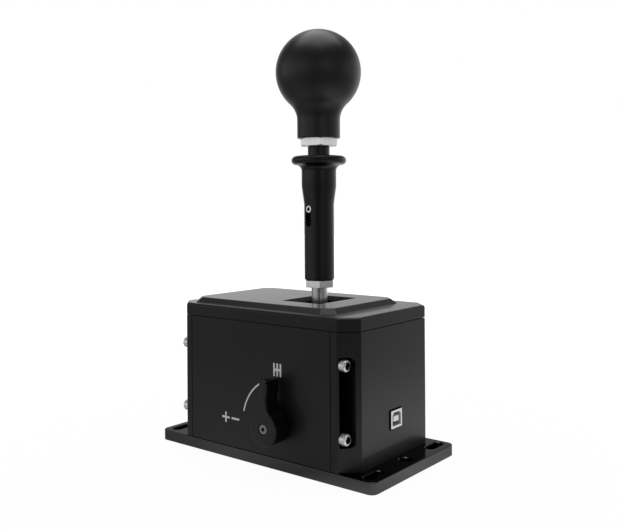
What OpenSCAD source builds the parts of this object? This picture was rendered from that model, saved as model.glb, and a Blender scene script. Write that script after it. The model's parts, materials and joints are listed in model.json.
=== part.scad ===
// Sim racing gear shifter: a box-shaped housing on a slotted base plate, a gear lever on a gimbal,
// a lift sleeve under the knob and a two-position mode selector on the front panel.
// Millimetres. Origin at the middle of the base plate's underside, X to the right along the front
// panel, Y to the back, Z up.

/* [Base plate] */
// Length of the base plate, along the front panel
plate_len = 174; // [170:1:190]
// Distance by which the base plate stands out in front of the housing and behind it
plate_lip = 0.5; // [0:0.1:8]
// Thickness of the base plate
plate_t = 7; // [6:0.5:10]
// Radius of the base plate's corners
plate_corner_r = 4.5; // [4:0.5:11]
// Width of a mounting slot
slot_w = 6.5; // [4.5:0.1:8]
// Length of a mounting slot from end to end
slot_len = 16.5; // [10:0.5:18]
// Diameter of a mounting hole
hole_d = 8.2; // [4.5:0.1:9]
// Distance from the plate's end to the mounting holes
slot_inset = 8; // [6:0.5:9]
// Distance between the two slots at one end
slot_spacing = 68; // [50:1:70]

/* [Housing] */
// Length of the housing, along the front panel
body_len = 144; // [140:1:148]
// Depth of the housing, from front to back
body_depth = 91; // [89:1:92]
// Height of the walls between base plate and lid
wall_h = 80; // [78:1:95]
// Thickness of an end plate
end_t = 14.6; // [13.5:0.1:16]
// Thickness of the front and rear panels
panel_t = 8; // [7:0.5:9]
// Chamfer on the housing's upright corners
corner_chamfer = 10; // [8:0.5:10.5]
// Small chamfer along the panels' outer edges
panel_edge = 0.5; // [0.2:0.1:1]
// Height of a screw pocket
pocket_h = 51.4; // [44:0.2:58]
// Depth of a screw pocket's floor below the end face
pocket_depth = 9.3; // [8.5:0.1:9.9]
// Radius of a screw pocket's corners
pocket_r = 3; // [1:0.5:4]

/* [Lid] */
// Height of the lid's side band
lid_band_h = 8.2; // [7:0.1:12]
// Thickness of the lid's top and sides
lid_wall = 3.2; // [2.5:0.1:4]
// Height of the raised top above the shoulder
plateau_rise = 3.1; // [1.5:0.1:4]
// Run of the raised top's sloping sides
plateau_slope = 3.8; // [1:0.1:5]
// Width of the shoulder at the front, back and left
shoulder_w = 5.6; // [4:0.1:8]
// Width of the shoulder at the right
shoulder_right_w = 19; // [12:0.5:22]
// Corner chamfer of the raised top
plateau_chamfer = 7.5; // [4:0.5:9]
// Bevel round the lid's top edge
lid_bevel = 1; // [0.4:0.1:1.5]
// Depth of the shadow groove under the lid's side band
lid_groove = 0.7; // [0.4:0.1:1.2]
// Gate opening, along the front panel
gate_x = 30.5; // [29:0.5:34]
// Gate opening, from front to back
gate_y = 39; // [36:0.5:44]

/* [Gear lever] */
// Distance of the lever's axis from the housing's right end
lever_inset = 57.5; // [55:0.5:60]
// Height of the lever's pivot above the base plate
pivot_h = 45; // [43:0.5:47]
// Throw of the lever to either side of neutral, in degrees
throw_deg = 10; // [6:0.5:10.5]
// Tilt of the lever to the outer gates, in degrees
select_deg = 12; // [8:0.5:13]
// Diameter of the lever rod
rod_d = 10.5; // [9.5:0.1:11]
// Gap between the lid and the lower nut
nut_rise = 8.1; // [7:0.1:14]
// Width across flats of the lower nut
lower_nut_af = 17.4; // [15:0.1:19]
// Height of the lower nut
lower_nut_h = 4.4; // [3:0.1:8]
// Width across flats of the upper nut
upper_nut_af = 22.6; // [20:0.1:24]
// Height of the upper nut
upper_nut_h = 4.9; // [3:0.1:8]

/* [Lift sleeve] */
// Diameter of the sleeve's lower tube
sleeve_d = 19.3; // [18:0.1:21]
// Length of the sleeve's lower tube
sleeve_len = 49; // [46:0.5:60]
// Length of the cone between lower tube and upper tube
cone_len = 11.5; // [8:0.5:16]
// Diameter of the sleeve's upper tube
collar_d = 22.4; // [21.5:0.1:25]
// Length of the sleeve's upper tube
collar_len = 9.9; // [8:0.1:16]
// Radius of the flare under the finger flange
flare_r = 4; // [2:0.5:4.5]
// Diameter of the finger flange
flange_d = 35.5; // [33:0.5:40]
// Thickness of the finger flange
flange_h = 5.6; // [4:0.1:6]
// Travel of the sleeve when it is lifted
lift_travel = 5.9; // [4:0.1:7]
// Diameter of the guide screw's head
guide_d = 4.8; // [3.6:0.1:5.2]
// Height of the guide screw above the sleeve's lower end
guide_h = 45.7; // [44:0.1:46]
// Direction of the guide screw, in degrees from the front towards the left
guide_turn = 9; // [0:1:45]

/* [Knob] */
// Diameter of the knob's ball
ball_d = 55.4; // [48:0.1:60]
// Diameter of the knob's neck
neck_d = 27.8; // [25:0.1:32]
// Radius of the fillet between neck and ball
neck_fillet = 14.5; // [5:0.5:18]
// Height of the ball's centre above the knob's lower end
ball_h = 43; // [38:0.1:50]
// Diameter of the knob adapter
adapter_d = 14.1; // [13.2:0.05:14.5]
// Diameter of the adapter's thread inside the knob
stud_d = 12; // [10:0.5:13]

/* [Mode selector] */
// Distance of the selector's pivot to the right of the middle
selector_x = 17.8; // [14:0.1:20]
// Height of the selector's pivot above the base plate
selector_h = 20.6; // [19:0.1:22]
// Radius of the selector's boss
boss_r = 10.2; // [9:0.1:12]
// Height of the arm's narrowest place above the pivot
waist_h = 17.5; // [15:0.1:20]
// Width of the arm at its narrowest place
waist_w = 4.4; // [4:0.1:5.5]
// Width of the arm's rounded tip
tip_w = 6; // [5.6:0.1:7]
// Height of the arm's tip above the pivot
tip_h = 29.2; // [26:0.1:34]
// Distance of the selector's face in front of the panel
selector_out = 14; // [12:0.1:17]
// Gap between the selector's back and the panel
selector_gap = 2.7; // [0.5:0.1:3]
// Diameter of the selector's shaft
selector_shaft_d = 8; // [7:0.1:9]

/* [Connector] */
// Width of the socket's shell
usb_w = 12; // [11.5:0.05:12.5]
// Height of the socket's shell
usb_h = 10.85; // [10.5:0.05:11.5]
// Height of the socket's middle above the base plate
usb_up = 23.5; // [22:0.5:26]

/* [Fasteners] */
// Diameter of the housing's screws
screw_d = 4; // [3.5:0.1:4.5]
// Diameter of a cap screw's head
head_d = 7; // [6.6:0.1:7.4]
// Height of a cap screw's head
head_h = 4; // [3:0.1:5]
// Diameter of the small screws on the boards and the selector
small_screw_d = 3; // [2.5:0.1:3.2]
// Diameter of the small screws' heads
small_head_d = 6; // [5.2:0.1:6.4]

/* [Mechanism] */
// Size of the pivot block along the front panel, and from front to back
block_w = 20; // [18:0.5:21]
// Height of the pivot block
block_h = 24; // [22:0.5:26]
// Thickness of the gimbal frame's side walls
frame_side_t = 7; // [6:0.5:8]
// Thickness of the gimbal frame's front and rear walls
frame_end_t = 9; // [8.5:0.5:10]
// Height of the gimbal frame
frame_h = 16; // [14:0.5:18]
// Diameter of the select trunnions
select_pin_d = 8; // [6:0.5:9]
// Diameter of the throw trunnions
throw_pin_d = 6; // [5:0.5:7]
// Wall of a bearing bush
bush_wall = 2; // [1.5:0.1:2.5]
// Thickness of a bush's flange
bush_flange_t = 1.2; // [0.8:0.1:2]
// Thickness of a bearing bracket
bracket_t = 9; // [8:0.5:10]
// Depth of a bearing bracket's foot, from front to back
bracket_foot = 34; // [30:1:40]
// Distance from the pivot down to the gate finger's ball
gate_arm = 37; // [35:0.5:38]
// Radius of the gate finger's ball
finger_r = 2.6; // [2.2:0.1:2.8]
// Thickness of the gate plate
gate_t = 3; // [2:0.1:4]
// Radius of the throw detent disc
disc_r = 11; // [9:0.5:12]
// Radius of the mode cam
cam_r = 8; // [7:0.5:9]

/* [Clearances] */
// Radial clearance of a shaft that turns or slides in its bore
run_clear = 0.05; // [0.02:0.01:0.1]
// Radial clearance of a part that is fixed in its bore
fit_clear = 0.02; // [0.01:0.01:0.05]
// Gap between pieces that move past each other
body_gap = 0.3; // [0.3:0.05:0.5]

/* [Hidden] */
$fn = 64;
// Amount by which a cut runs past a face
cut = 1;

// Heights from the base plate up
mid_z = plate_t + wall_h / 2;
wall_z = plate_t + wall_h;
shoulder_z = wall_z + lid_band_h;
lid_z = shoulder_z + plateau_rise;
pivot_z = plate_t + pivot_h;
lower_nut_z = lid_z + nut_rise;
sleeve_z = lower_nut_z + lower_nut_h + body_gap;
cone_z = sleeve_z + sleeve_len;
collar_z = cone_z + cone_len;
flare_z = collar_z + collar_len;
flange_z = flare_z + flare_r;
sleeve_top = flange_z + flange_h;
upper_nut_z = sleeve_top + lift_travel + 2 * body_gap;
knob_z = upper_nut_z + upper_nut_h;
ball_z = knob_z + ball_h;

// Housing faces
end_x = body_len / 2;
end_in = end_x - end_t;
face_y = body_depth / 2;
panel_in = face_y - panel_t;
slot_x = plate_len / 2 - slot_inset;
plate_depth = body_depth + 2 * plate_lip;
lever_x = end_x - lever_inset;

// Screws of the end plates and the pockets around their heads
socket_share = 0.5;
sunk_socket_share = 0.7;
pocket_x = end_x - pocket_depth;
pocket_end_room = 4.7;
head_room = 0.2;
panel_screw_y = face_y - panel_t / 2;
panel_screw_dz = pocket_h / 2 - pocket_end_room;
pocket_y = panel_screw_y - head_d / 2 - head_room;
panel_screw_len = 18;
hole_room = 0.2;
tip_room = 1;

// Tie bolts up through the end plates
tie_x = end_x - end_t / 2;
tie_y = 27;
tie_bite = 5;
sink_depth = 0.3;
boss_wall = 2.5;
boss_d = screw_d + 2 * boss_wall;

// Rings in one turn of a coil spring, and how far in the straight runs between them reach
coil_rings = 12;
coil_chord = cos(180 / coil_rings);

// Lever rod, nuts, sleeve bore and lift spring
nut_edge_share = 0.3;
rod_r = rod_d / 2;
rod_below = 16;
rod_z = pivot_z - rod_below;
sleeve_guide_len = 7;
sleeve_bore_r = adapter_d / 2 + run_clear;
adapter_below = 7;
adapter_z = sleeve_z + guide_h - adapter_below;
adapter_socket = 40;
stud_len = 20;
guide_z = sleeve_z + guide_h;
guide_shank_share = 0.7;
guide_bite_share = 0.4;
guide_shank_d = guide_d * guide_shank_share;
guide_bite = rod_r * guide_bite_share;
sleeve_slot_w = guide_d + 2 * body_gap;
slot_spare = 2.6;
lift_spring_in = rod_r + body_gap;
lift_spring_out = sleeve_bore_r - body_gap;
lift_spring_r = (lift_spring_in + lift_spring_out) / (1 + coil_chord);
lift_wire_r = lift_spring_out - lift_spring_r;
lift_spring_turns = 9;

// Knob profile: the fillet touches the neck and the ball
neck_r = neck_d / 2;
ball_r = ball_d / 2;
fillet_x = neck_r + neck_fillet;
fillet_dz = sqrt(pow(ball_r + neck_fillet, 2) - pow(fillet_x, 2));
fillet_z = ball_z - fillet_dz;
touch_x = fillet_x * ball_r / (ball_r + neck_fillet);
touch_z = ball_z - fillet_dz * ball_r / (ball_r + neck_fillet);
insert_wall = 2;
insert_r = stud_d / 2 + insert_wall;
insert_len = 22;

// Gimbal frame and brackets, measured from the lever's axis
block_room = 2.5;
block_half = block_w / 2;
frame_in_x = block_half * cos(throw_deg) + block_h / 2 * sin(throw_deg) + block_room;
frame_out_x = frame_in_x + frame_side_t;
frame_in_y = block_half + bush_flange_t + body_gap;
frame_out_y = frame_in_y + frame_end_t;
bracket_in = frame_out_x + bush_flange_t + body_gap;
bracket_out = bracket_in + bracket_t;
pin_stand = 1;
select_pin_end = bracket_out + pin_stand;
throw_pin_in = rod_r + pin_stand;
throw_pin_front = frame_out_y + pin_stand;
disc_t = 3.5;
disc_y = frame_out_y + body_gap;
throw_pin_rear = disc_y + disc_t;
bush_flange_w = 2;
magnet_t = 2.5;
magnet_share = 0.8;
bracket_x = (bracket_in + bracket_out) / 2;
bracket_screw_inset = 6;
bracket_screw_y = bracket_foot / 2 - bracket_screw_inset;
bracket_screw_d = 5;
bracket_foot_h = 14;
bracket_bite = 12;
bracket_rim = 4;

// Throw detent above its disc
notch_r = 0.8;
detent_gap = 1.2;
plunger_d = 6;
plunger_ball_r = 1.5;
shelf_h = 7;
shelf_w = 12;
shelf_z = pivot_z + disc_r + detent_gap;
plunger_y = disc_y + disc_t / 2;
plunger_top = 2.5;

// Throw sensor in front of its magnet
sensor_gap = 1;
chip_t = 1;
board_t = 1.6;
sensor_y = throw_pin_front + magnet_t + sensor_gap + chip_t;
sensor_w = 26;
sensor_h = 14;
sensor_post_d = 5;
sensor_post_x = 10;
chip_w = 4;

// Gate plate, finger and centring springs
finger_z = pivot_z - gate_arm;
finger_neck_share = 0.72;
finger_neck_r = finger_r * finger_neck_share;
finger_collar_h = 3;
finger_stem_r = 3;
finger_stem_len = 12;
gate_room = 0.4;
gate_slot_w = 2 * (finger_r + gate_room);
gate_half_throw = gate_arm * sin(throw_deg);
gate_half_select = gate_arm * sin(select_deg);
gate_top = finger_z + gate_t / 2;
gate_bottom = finger_z - gate_t / 2;
spring_y = (frame_in_y + frame_out_y) / 2;
seat_r = 4.8;
seat_t = 1.5;
select_wire_r = 0.6;
select_spring_r = 3.6;
select_spring_turns = 7;
spigot_r = select_spring_r * coil_chord - select_wire_r - body_gap;
spigot_h = 3;
gate_margin = 2;
gate_half_x = bracket_in - gate_margin;
gate_half_y = spring_y + seat_r + gate_margin;
gate_screw_inset = 5;
gate_screw_x = gate_half_x - gate_screw_inset;
gate_screw_y = gate_half_y - gate_screw_inset;
gate_floor = 2;
gate_screw_bite = plate_t - gate_floor;
flat_head_h = 2;
spacer_d = 8;

// Mode selector
selector_z = plate_t + selector_h;
selector_face = -face_y - selector_out;
selector_back = -face_y - selector_gap;
selector_web = 0.5;
selector_socket = selector_out - selector_gap - head_h - selector_web;
flank_r = (pow(waist_w / 2, 2) + pow(waist_h, 2) - pow(boss_r, 2)) / (2 * (boss_r - waist_w / 2));
flank_x = waist_w / 2 + flank_r;
cam_t = 5;
cam_y = -panel_in + bush_flange_t + body_gap;
cam_lobe_r = 4;
cam_lobe_out = 7;
cam_notch_r = 1.2;
mode_ball_r = 1.5;
mode_plunger_d = 5;
mode_block_x = selector_x + cam_r + detent_gap;
mode_block_len = 12;
mode_block_h = 18;
mode_block_t = 8;
mode_screw_dz = 6;
mode_screw_bite = 5;
switch_w = 10;
switch_h = 20;
switch_t = 6.5;
switch_button = 1.5;
switch_x = selector_x - cam_lobe_r - cam_lobe_out - body_gap - switch_button;

// Main board and socket at the right end
spacer_t = 1.2;
board_out = end_in - spacer_t;
board_in = board_out - board_t;
usb_z = plate_t + usb_up;
board_below_usb = 17;
board_above_pivot = 13;
board_bottom = usb_z - board_below_usb;
board_top = pivot_z + board_above_pivot;
board_w = 48;
board_screw_inset = 4;
board_screw_y = board_w / 2 - board_screw_inset;
board_screw_bite = 8;
usb_room = 0.3;
usb_wall = 1.4;
usb_clip = 1.6;
usb_depth = 9;
tongue_w = 5.6;
tongue_h = 3.2;
tongue_len = 8;

// Colours as the photograph shows them
anodised = "#242425";
steel = "#b9bbbe";
dark_steel = "#4b4d50";
bronze = "#a07c45";
moulded = "#1d1d1e";
bright = "#e4e5e6";
pale = "#d8d8d2";
board_green = "#1f4d34";

// Shared shapes

// Rectangle with round corners, centred
module rounded_rect(w, d, r) {
  square([w - 2 * r, d], center = true);
  square([w, d - 2 * r], center = true);
  for (sx = [-1, 1], sy = [-1, 1])
    translate([sx * (w / 2 - r), sy * (d / 2 - r)])
      circle(r);
}

// Slot with round ends, along Y
module slot_shape(w, len) {
  square([w, len - w], center = true);
  for (s = [-1, 1])
    translate([0, s * (len - w) / 2])
      circle(d = w);
}

// Rectangle from low to high corners with chamfered corners
module chamfered_rect(low, high, c) {
  polygon([
    [low.x + c, low.y], [high.x - c, low.y], [high.x, low.y + c], [high.x, high.y - c],
    [high.x - c, high.y], [low.x + c, high.y], [low.x, high.y - c], [low.x, low.y + c]
  ]);
}

// Cap screw along Z: head above zero, shank below
module cap_screw(d, len, head, height) {
  difference() {
    union() {
      cylinder(d = head, h = height);
      translate([0, 0, -len])
        cylinder(d = d, h = len);
    }
    translate([0, 0, height / 2])
      cylinder(d = head * socket_share, h = height, $fn = 6);
  }
}

// Countersunk screw along Z: head face at zero, shank upwards
module sunk_screw(d, len) {
  difference() {
    union() {
      cylinder(d1 = 2 * d, d2 = d, h = d / 2);
      cylinder(d = d, h = len);
    }
    translate([0, 0, -cut])
      cylinder(d = d * sunk_socket_share, h = d / 2 + cut, $fn = 6);
  }
}

// Hole for a countersunk screw in a face at z = 0
module sunk_hole(d, len) {
  translate([0, 0, sink_depth])
    cylinder(d1 = 2 * (d + fit_clear), d2 = d + 2 * fit_clear, h = d / 2 + fit_clear);
  translate([0, 0, -cut])
    cylinder(d = 2 * (d + fit_clear), h = cut + sink_depth);
  cylinder(d = d + 2 * hole_room, h = len);
}

// Hexagonal nut along Z with turned-down corners
module hex_nut(af, h, bore_r) {
  corner_d = af / cos(30);
  edge = (corner_d - af) * nut_edge_share;
  difference() {
    cylinder(d = corner_d, h = h, $fn = 6);
    for (turned = [0, 1])
      translate([0, 0, turned * h])
        mirror([0, 0, turned])
          translate([0, 0, -cut])
            difference() {
              cylinder(d = 2 * corner_d, h = edge + cut);
              cylinder(d1 = corner_d - 4 * (edge + cut), d2 = corner_d, h = edge + cut);
            }
    translate([0, 0, -cut])
      cylinder(r = bore_r, h = h + 2 * cut);
  }
}

// Flanged bush along Z: the flange ends at zero, the barrel runs up from there
module flanged_bush(pin_d, len) {
  outer_r = pin_d / 2 + bush_wall;
  difference() {
    union() {
      cylinder(r = outer_r, h = len);
      translate([0, 0, -bush_flange_t])
        cylinder(r = outer_r + bush_flange_w, h = bush_flange_t);
    }
    translate([0, 0, -bush_flange_t - cut])
      cylinder(d = pin_d + 2 * run_clear, h = len + bush_flange_t + 2 * cut);
  }
}

// Radius of the hole that holds a flanged bush
function bush_hole_r(pin_d) = pin_d / 2 + bush_wall + fit_clear;

// Coil spring along Z from zero to len: a wire swept along a helix
module coil_spring(r, wire_r, len, turns) {
  sides = 6;
  rings = turns * coil_rings;
  rise = (len - 2 * wire_r) / rings;
  points = [
    for (i = [0 : rings], s = [0 : sides - 1])
      let (a = i * 360 / coil_rings, b = s * 360 / sides, q = r + wire_r * cos(b))
        [q * cos(a), q * sin(a), wire_r + i * rise + wire_r * sin(b)]
  ];
  walls = [
    for (i = [0 : rings - 1], s = [0 : sides - 1])
      let (p = i * sides + s, n = i * sides + (s + 1) % sides)
        each [[p, p + sides, n], [n, p + sides, n + sides]]
  ];
  ends = [
    for (s = [1 : sides - 2])
      each [[0, s, s + 1], [rings * sides, rings * sides + s + 1, rings * sides + s]]
  ];
  polyhedron(points, concat(walls, ends));
}

// Places
module at_lever(z) {
  translate([lever_x, 0, z])
    children();
}

module at_ties() {
  for (sx = [-1, 1], sy = [-1, 1])
    translate([sx * tie_x, sy * tie_y, 0])
      children();
}

module at_bracket_screws() {
  for (sx = [-1, 1], sy = [-1, 1])
    translate([lever_x + sx * bracket_x, sy * bracket_screw_y, 0])
      children();
}

module at_gate_screws() {
  for (sx = [-1, 1], sy = [-1, 1])
    translate([lever_x + sx * gate_screw_x, sy * gate_screw_y, 0])
      children();
}

// Screw places on one end plate, with Z turned out of the end
module at_panel_screws(side) {
  for (sy = [-1, 1], sz = [-1, 1])
    translate([side * pocket_x, sy * panel_screw_y, mid_z + sz * panel_screw_dz])
      rotate([0, side * 90, 0])
        children();
}

// Screw places on the main board, with Z turned towards the lever
module at_board_screws(x) {
  for (sy = [-1, 1], z = [board_bottom + board_screw_inset, board_top - board_screw_inset])
    translate([x, sy * board_screw_y, z])
      rotate([0, -90, 0])
        children();
}

// Screw places on the mode detent block, with Z turned into the housing
module at_mode_screws() {
  for (sz = [-1, 1])
    translate([mode_block_x + mode_block_len / 2, -panel_in + mode_block_t, selector_z + sz * mode_screw_dz])
      rotate([-90, 0, 0])
        children();
}

// The selector's axis, with Z turned out of the front
module at_selector(y) {
  translate([selector_x, y, selector_z])
    rotate([90, 0, 0])
      children();
}

// Housing

module base_plate() {
  color(anodised)
    difference() {
      linear_extrude(plate_t)
        rounded_rect(plate_len, plate_depth, plate_corner_r);
      for (sx = [-1, 1]) {
        translate([sx * slot_x, 0, -cut])
          cylinder(d = hole_d, h = plate_t + 2 * cut);
        for (sy = [-1, 1])
          translate([sx * slot_x, sy * slot_spacing / 2, -cut])
            linear_extrude(plate_t + 2 * cut)
              slot_shape(slot_w, slot_len);
      }
      at_ties()
        sunk_hole(screw_d, plate_t + cut);
      at_bracket_screws()
        sunk_hole(bracket_screw_d, plate_t + cut);
      at_gate_screws()
        translate([0, 0, plate_t - gate_screw_bite])
          cylinder(d = screw_d + 2 * fit_clear, h = gate_screw_bite + cut);
    }
}

// One end plate; side is 1 at the right and -1 at the left
module end_plate(side) {
  outline = [
    [end_in, -face_y], [end_x - corner_chamfer, -face_y], [end_x, -face_y + corner_chamfer],
    [end_x, face_y - corner_chamfer], [end_x - corner_chamfer, face_y], [end_in, face_y]
  ];
  pocket_w = face_y - pocket_y + pocket_r + cut;
  difference() {
    translate([0, 0, plate_t])
      linear_extrude(wall_h)
        polygon([for (p = outline) [side * p.x, p.y]]);
    for (sy = [-1, 1])
      translate([side * pocket_x, sy * (pocket_y + pocket_w / 2), mid_z])
        rotate([90, 0, side * 90])
          linear_extrude(pocket_depth + cut)
            rounded_rect(pocket_w, pocket_h, pocket_r);
    at_panel_screws(side)
      translate([0, 0, -pocket_x + end_in - cut])
        cylinder(d = screw_d + 2 * hole_room, h = pocket_x - end_in + 2 * cut);
    at_ties()
      translate([0, 0, plate_t - cut])
        cylinder(d = screw_d + 2 * hole_room, h = wall_h + 2 * cut);
  }
}

module left_end_plate() {
  color(anodised)
    end_plate(-1);
}

module right_end_plate() {
  color(anodised)
    difference() {
      end_plate(1);
      translate([end_in - cut, -usb_w / 2 - usb_room, usb_z - usb_h / 2 - usb_room])
        cube([end_t + 2 * cut, usb_w + 2 * usb_room, usb_h + 2 * usb_room]);
      at_board_screws(end_in)
        translate([0, 0, -board_screw_bite])
          cylinder(d = small_screw_d + 2 * fit_clear, h = board_screw_bite + cut);
    }
}

// Panel between the end plates; side is -1 at the front and 1 at the rear
module panel(side) {
  outline = [
    [-end_in, panel_in], [end_in, panel_in], [end_in, face_y - panel_edge],
    [end_in - panel_edge, face_y], [-end_in + panel_edge, face_y], [-end_in, face_y - panel_edge]
  ];
  bite = panel_screw_len - (pocket_x - end_in) + tip_room;
  difference() {
    translate([0, 0, plate_t])
      linear_extrude(wall_h)
        polygon([for (p = outline) [p.x, side * p.y]]);
    for (sx = [-1, 1], sz = [-1, 1])
      translate([sx * (end_in - bite), side * panel_screw_y, mid_z + sz * panel_screw_dz])
        rotate([0, sx * 90, 0])
          cylinder(d = screw_d + 2 * fit_clear, h = bite + cut);
  }
}

module front_panel() {
  color(anodised)
    difference() {
      panel(-1);
      at_selector(-panel_in + cut)
        cylinder(r = bush_hole_r(selector_shaft_d), h = panel_t + 2 * cut);
      at_mode_screws()
        translate([0, 0, -mode_block_t - mode_screw_bite])
          cylinder(d = small_screw_d + 2 * fit_clear, h = mode_screw_bite + cut);
    }
}

module rear_panel() {
  color(anodised)
    panel(1);
}

// Lid: a side band with a bevelled shoulder and a raised top, hollow below
module lid() {
  band_low = [-end_x, -face_y];
  band_high = [end_x, face_y];
  foot_low = [-end_x + shoulder_w, -face_y + shoulder_w];
  foot_high = [end_x - shoulder_right_w, face_y - shoulder_w];
  slope = [plateau_slope, plateau_slope];
  bevel = [lid_bevel, lid_bevel];
  groove = [lid_groove, lid_groove];
  wall = [lid_wall, lid_wall] + groove;
  skin = 0.01;
  color(anodised)
    difference() {
      union() {
        translate([0, 0, wall_z])
          linear_extrude(lid_groove)
            chamfered_rect(band_low + groove, band_high - groove, corner_chamfer - lid_groove / 2);
        translate([0, 0, wall_z + lid_groove])
          linear_extrude(lid_band_h - lid_groove - lid_bevel)
            chamfered_rect(band_low, band_high, corner_chamfer);
        hull() {
          translate([0, 0, shoulder_z - lid_bevel - skin])
            linear_extrude(skin)
              chamfered_rect(band_low, band_high, corner_chamfer);
          translate([0, 0, shoulder_z - skin])
            linear_extrude(skin)
              chamfered_rect(band_low + bevel, band_high - bevel, corner_chamfer - lid_bevel / 2);
        }
        hull() {
          translate([0, 0, shoulder_z - lid_bevel])
            linear_extrude(lid_bevel)
              chamfered_rect(foot_low, foot_high, plateau_chamfer);
          translate([0, 0, lid_z - skin])
            linear_extrude(skin)
              chamfered_rect(foot_low + slope, foot_high - slope, plateau_chamfer - plateau_slope / 2);
        }
      }
      difference() {
        union() {
          translate([0, 0, wall_z - cut])
            linear_extrude(lid_band_h - lid_wall + cut)
              chamfered_rect(band_low + wall, band_high - wall, corner_chamfer - lid_wall / 2);
          translate([0, 0, wall_z - cut])
            linear_extrude(lid_z - lid_wall - wall_z + cut)
              chamfered_rect(foot_low + slope + wall, foot_high - slope - wall, plateau_chamfer);
        }
        at_ties()
          translate([0, 0, wall_z])
            cylinder(d = boss_d, h = lid_band_h);
      }
      at_ties()
        translate([0, 0, wall_z - cut])
          cylinder(d = screw_d + 2 * fit_clear, h = tie_bite + tip_room + cut);
      translate([lever_x - gate_x / 2, -gate_y / 2, wall_z])
        cube([gate_x, gate_y, lid_z - wall_z + cut]);
    }
}

module corner_screws() {
  color(steel)
    for (side = [-1, 1])
      at_panel_screws(side)
        cap_screw(screw_d, panel_screw_len, head_d, head_h);
}

module tie_bolts() {
  color(dark_steel)
    at_ties()
      translate([0, 0, sink_depth])
        sunk_screw(screw_d, wall_z + tie_bite - sink_depth);
}

// Bearing bracket beside the gimbal; side is 1 at the right and -1 at the left
module bracket(side) {
  eye_r = bush_hole_r(select_pin_d) + bracket_rim;
  difference() {
    translate([lever_x + side * bracket_x, 0, pivot_z])
      rotate([90, 0, 90])
        linear_extrude(bracket_t, center = true) {
          circle(eye_r);
          polygon([
            [-bracket_foot / 2, -pivot_h], [bracket_foot / 2, -pivot_h],
            [bracket_foot / 2, -pivot_h + bracket_foot_h], [eye_r, 0], [-eye_r, 0],
            [-bracket_foot / 2, -pivot_h + bracket_foot_h]
          ]);
        }
    translate([lever_x + side * (bracket_in - cut), 0, pivot_z])
      rotate([0, side * 90, 0])
        cylinder(r = bush_hole_r(select_pin_d), h = bracket_t + 2 * cut);
    at_bracket_screws()
      translate([0, 0, plate_t - cut])
        cylinder(d = bracket_screw_d + 2 * fit_clear, h = bracket_bite + cut);
  }
}

module left_bracket() {
  color(dark_steel)
    bracket(-1);
}

module right_bracket() {
  color(dark_steel)
    bracket(1);
}

module bracket_screws() {
  color(dark_steel)
    at_bracket_screws()
      translate([0, 0, sink_depth])
        sunk_screw(bracket_screw_d, plate_t + bracket_bite - tip_room - sink_depth);
}

module bracket_bushes() {
  color(bronze)
    for (side = [-1, 1])
      translate([lever_x + side * bracket_in, 0, pivot_z])
        rotate([0, side * 90, 0])
          flanged_bush(select_pin_d, bracket_t);
}

// Gate plate with three gates joined by a neutral channel
module gate_plate() {
  color(steel)
    difference() {
      at_lever(gate_bottom)
        linear_extrude(gate_t)
          difference() {
            square([2 * gate_half_x, 2 * gate_half_y], center = true);
            slot_shape(gate_slot_w, 2 * gate_half_select + gate_slot_w);
            for (gate = [-1, 0, 1])
              translate([0, gate * gate_half_select])
                rotate(90)
                  slot_shape(gate_slot_w, 2 * gate_half_throw + gate_slot_w);
          }
      at_gate_screws()
        translate([0, 0, gate_bottom - cut])
          cylinder(d = screw_d + 2 * hole_room, h = gate_t + 2 * cut);
    }
}

module gate_spacers() {
  color(steel)
    at_gate_screws()
      translate([0, 0, plate_t])
        difference() {
          cylinder(d = spacer_d, h = gate_bottom - plate_t);
          translate([0, 0, -cut])
            cylinder(d = screw_d + 2 * hole_room, h = gate_bottom - plate_t + 2 * cut);
        }
}

module gate_screws() {
  color(dark_steel)
    at_gate_screws()
      translate([0, 0, gate_top])
        cap_screw(screw_d, gate_top - plate_t + gate_screw_bite - tip_room, head_d, flat_head_h);
}

module spring_seats() {
  color(bronze)
    for (sy = [-1, 1])
      translate([lever_x, sy * spring_y, gate_top]) {
        cylinder(r = seat_r, h = seat_t);
        cylinder(r = spigot_r, h = seat_t + spigot_h);
      }
}

module select_springs() {
  base_z = gate_top + seat_t;
  color(steel)
    for (sy = [-1, 1])
      translate([lever_x, sy * spring_y, base_z])
        coil_spring(select_spring_r, select_wire_r, pivot_z - frame_h / 2 - body_gap - base_z,
          select_spring_turns);
}

// Electronics

module main_board() {
  color(board_green)
    difference() {
      translate([board_in, -board_w / 2, board_bottom])
        cube([board_t, board_w, board_top - board_bottom]);
      at_board_screws(board_out + cut)
        cylinder(d = small_screw_d + 2 * hole_room, h = board_t + 2 * cut);
    }
}

// Angle sensor opposite the select magnet, controller and voltage regulator
module board_chips() {
  controller_w = 10;
  regulator = [6, 4];
  part_y = 12;
  color(moulded) {
    translate([board_in - chip_t, -chip_w / 2, pivot_z - chip_w / 2])
      cube([chip_t, chip_w, chip_w]);
    translate([board_in - chip_t, part_y - controller_w / 2, mid_z - controller_w])
      cube([chip_t, controller_w, controller_w]);
    translate([board_in - chip_t, -part_y - regulator.x / 2, usb_z])
      cube([chip_t, regulator.x, regulator.y]);
  }
}

module board_spacers() {
  color(steel)
    at_board_screws(end_in)
      difference() {
        cylinder(d = small_head_d, h = spacer_t);
        translate([0, 0, -cut])
          cylinder(d = small_screw_d + 2 * hole_room, h = spacer_t + 2 * cut);
      }
}

module board_screws() {
  color(steel)
    at_board_screws(board_in)
      cap_screw(small_screw_d, board_t + spacer_t + board_screw_bite - tip_room, small_head_d, flat_head_h);
}

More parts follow.
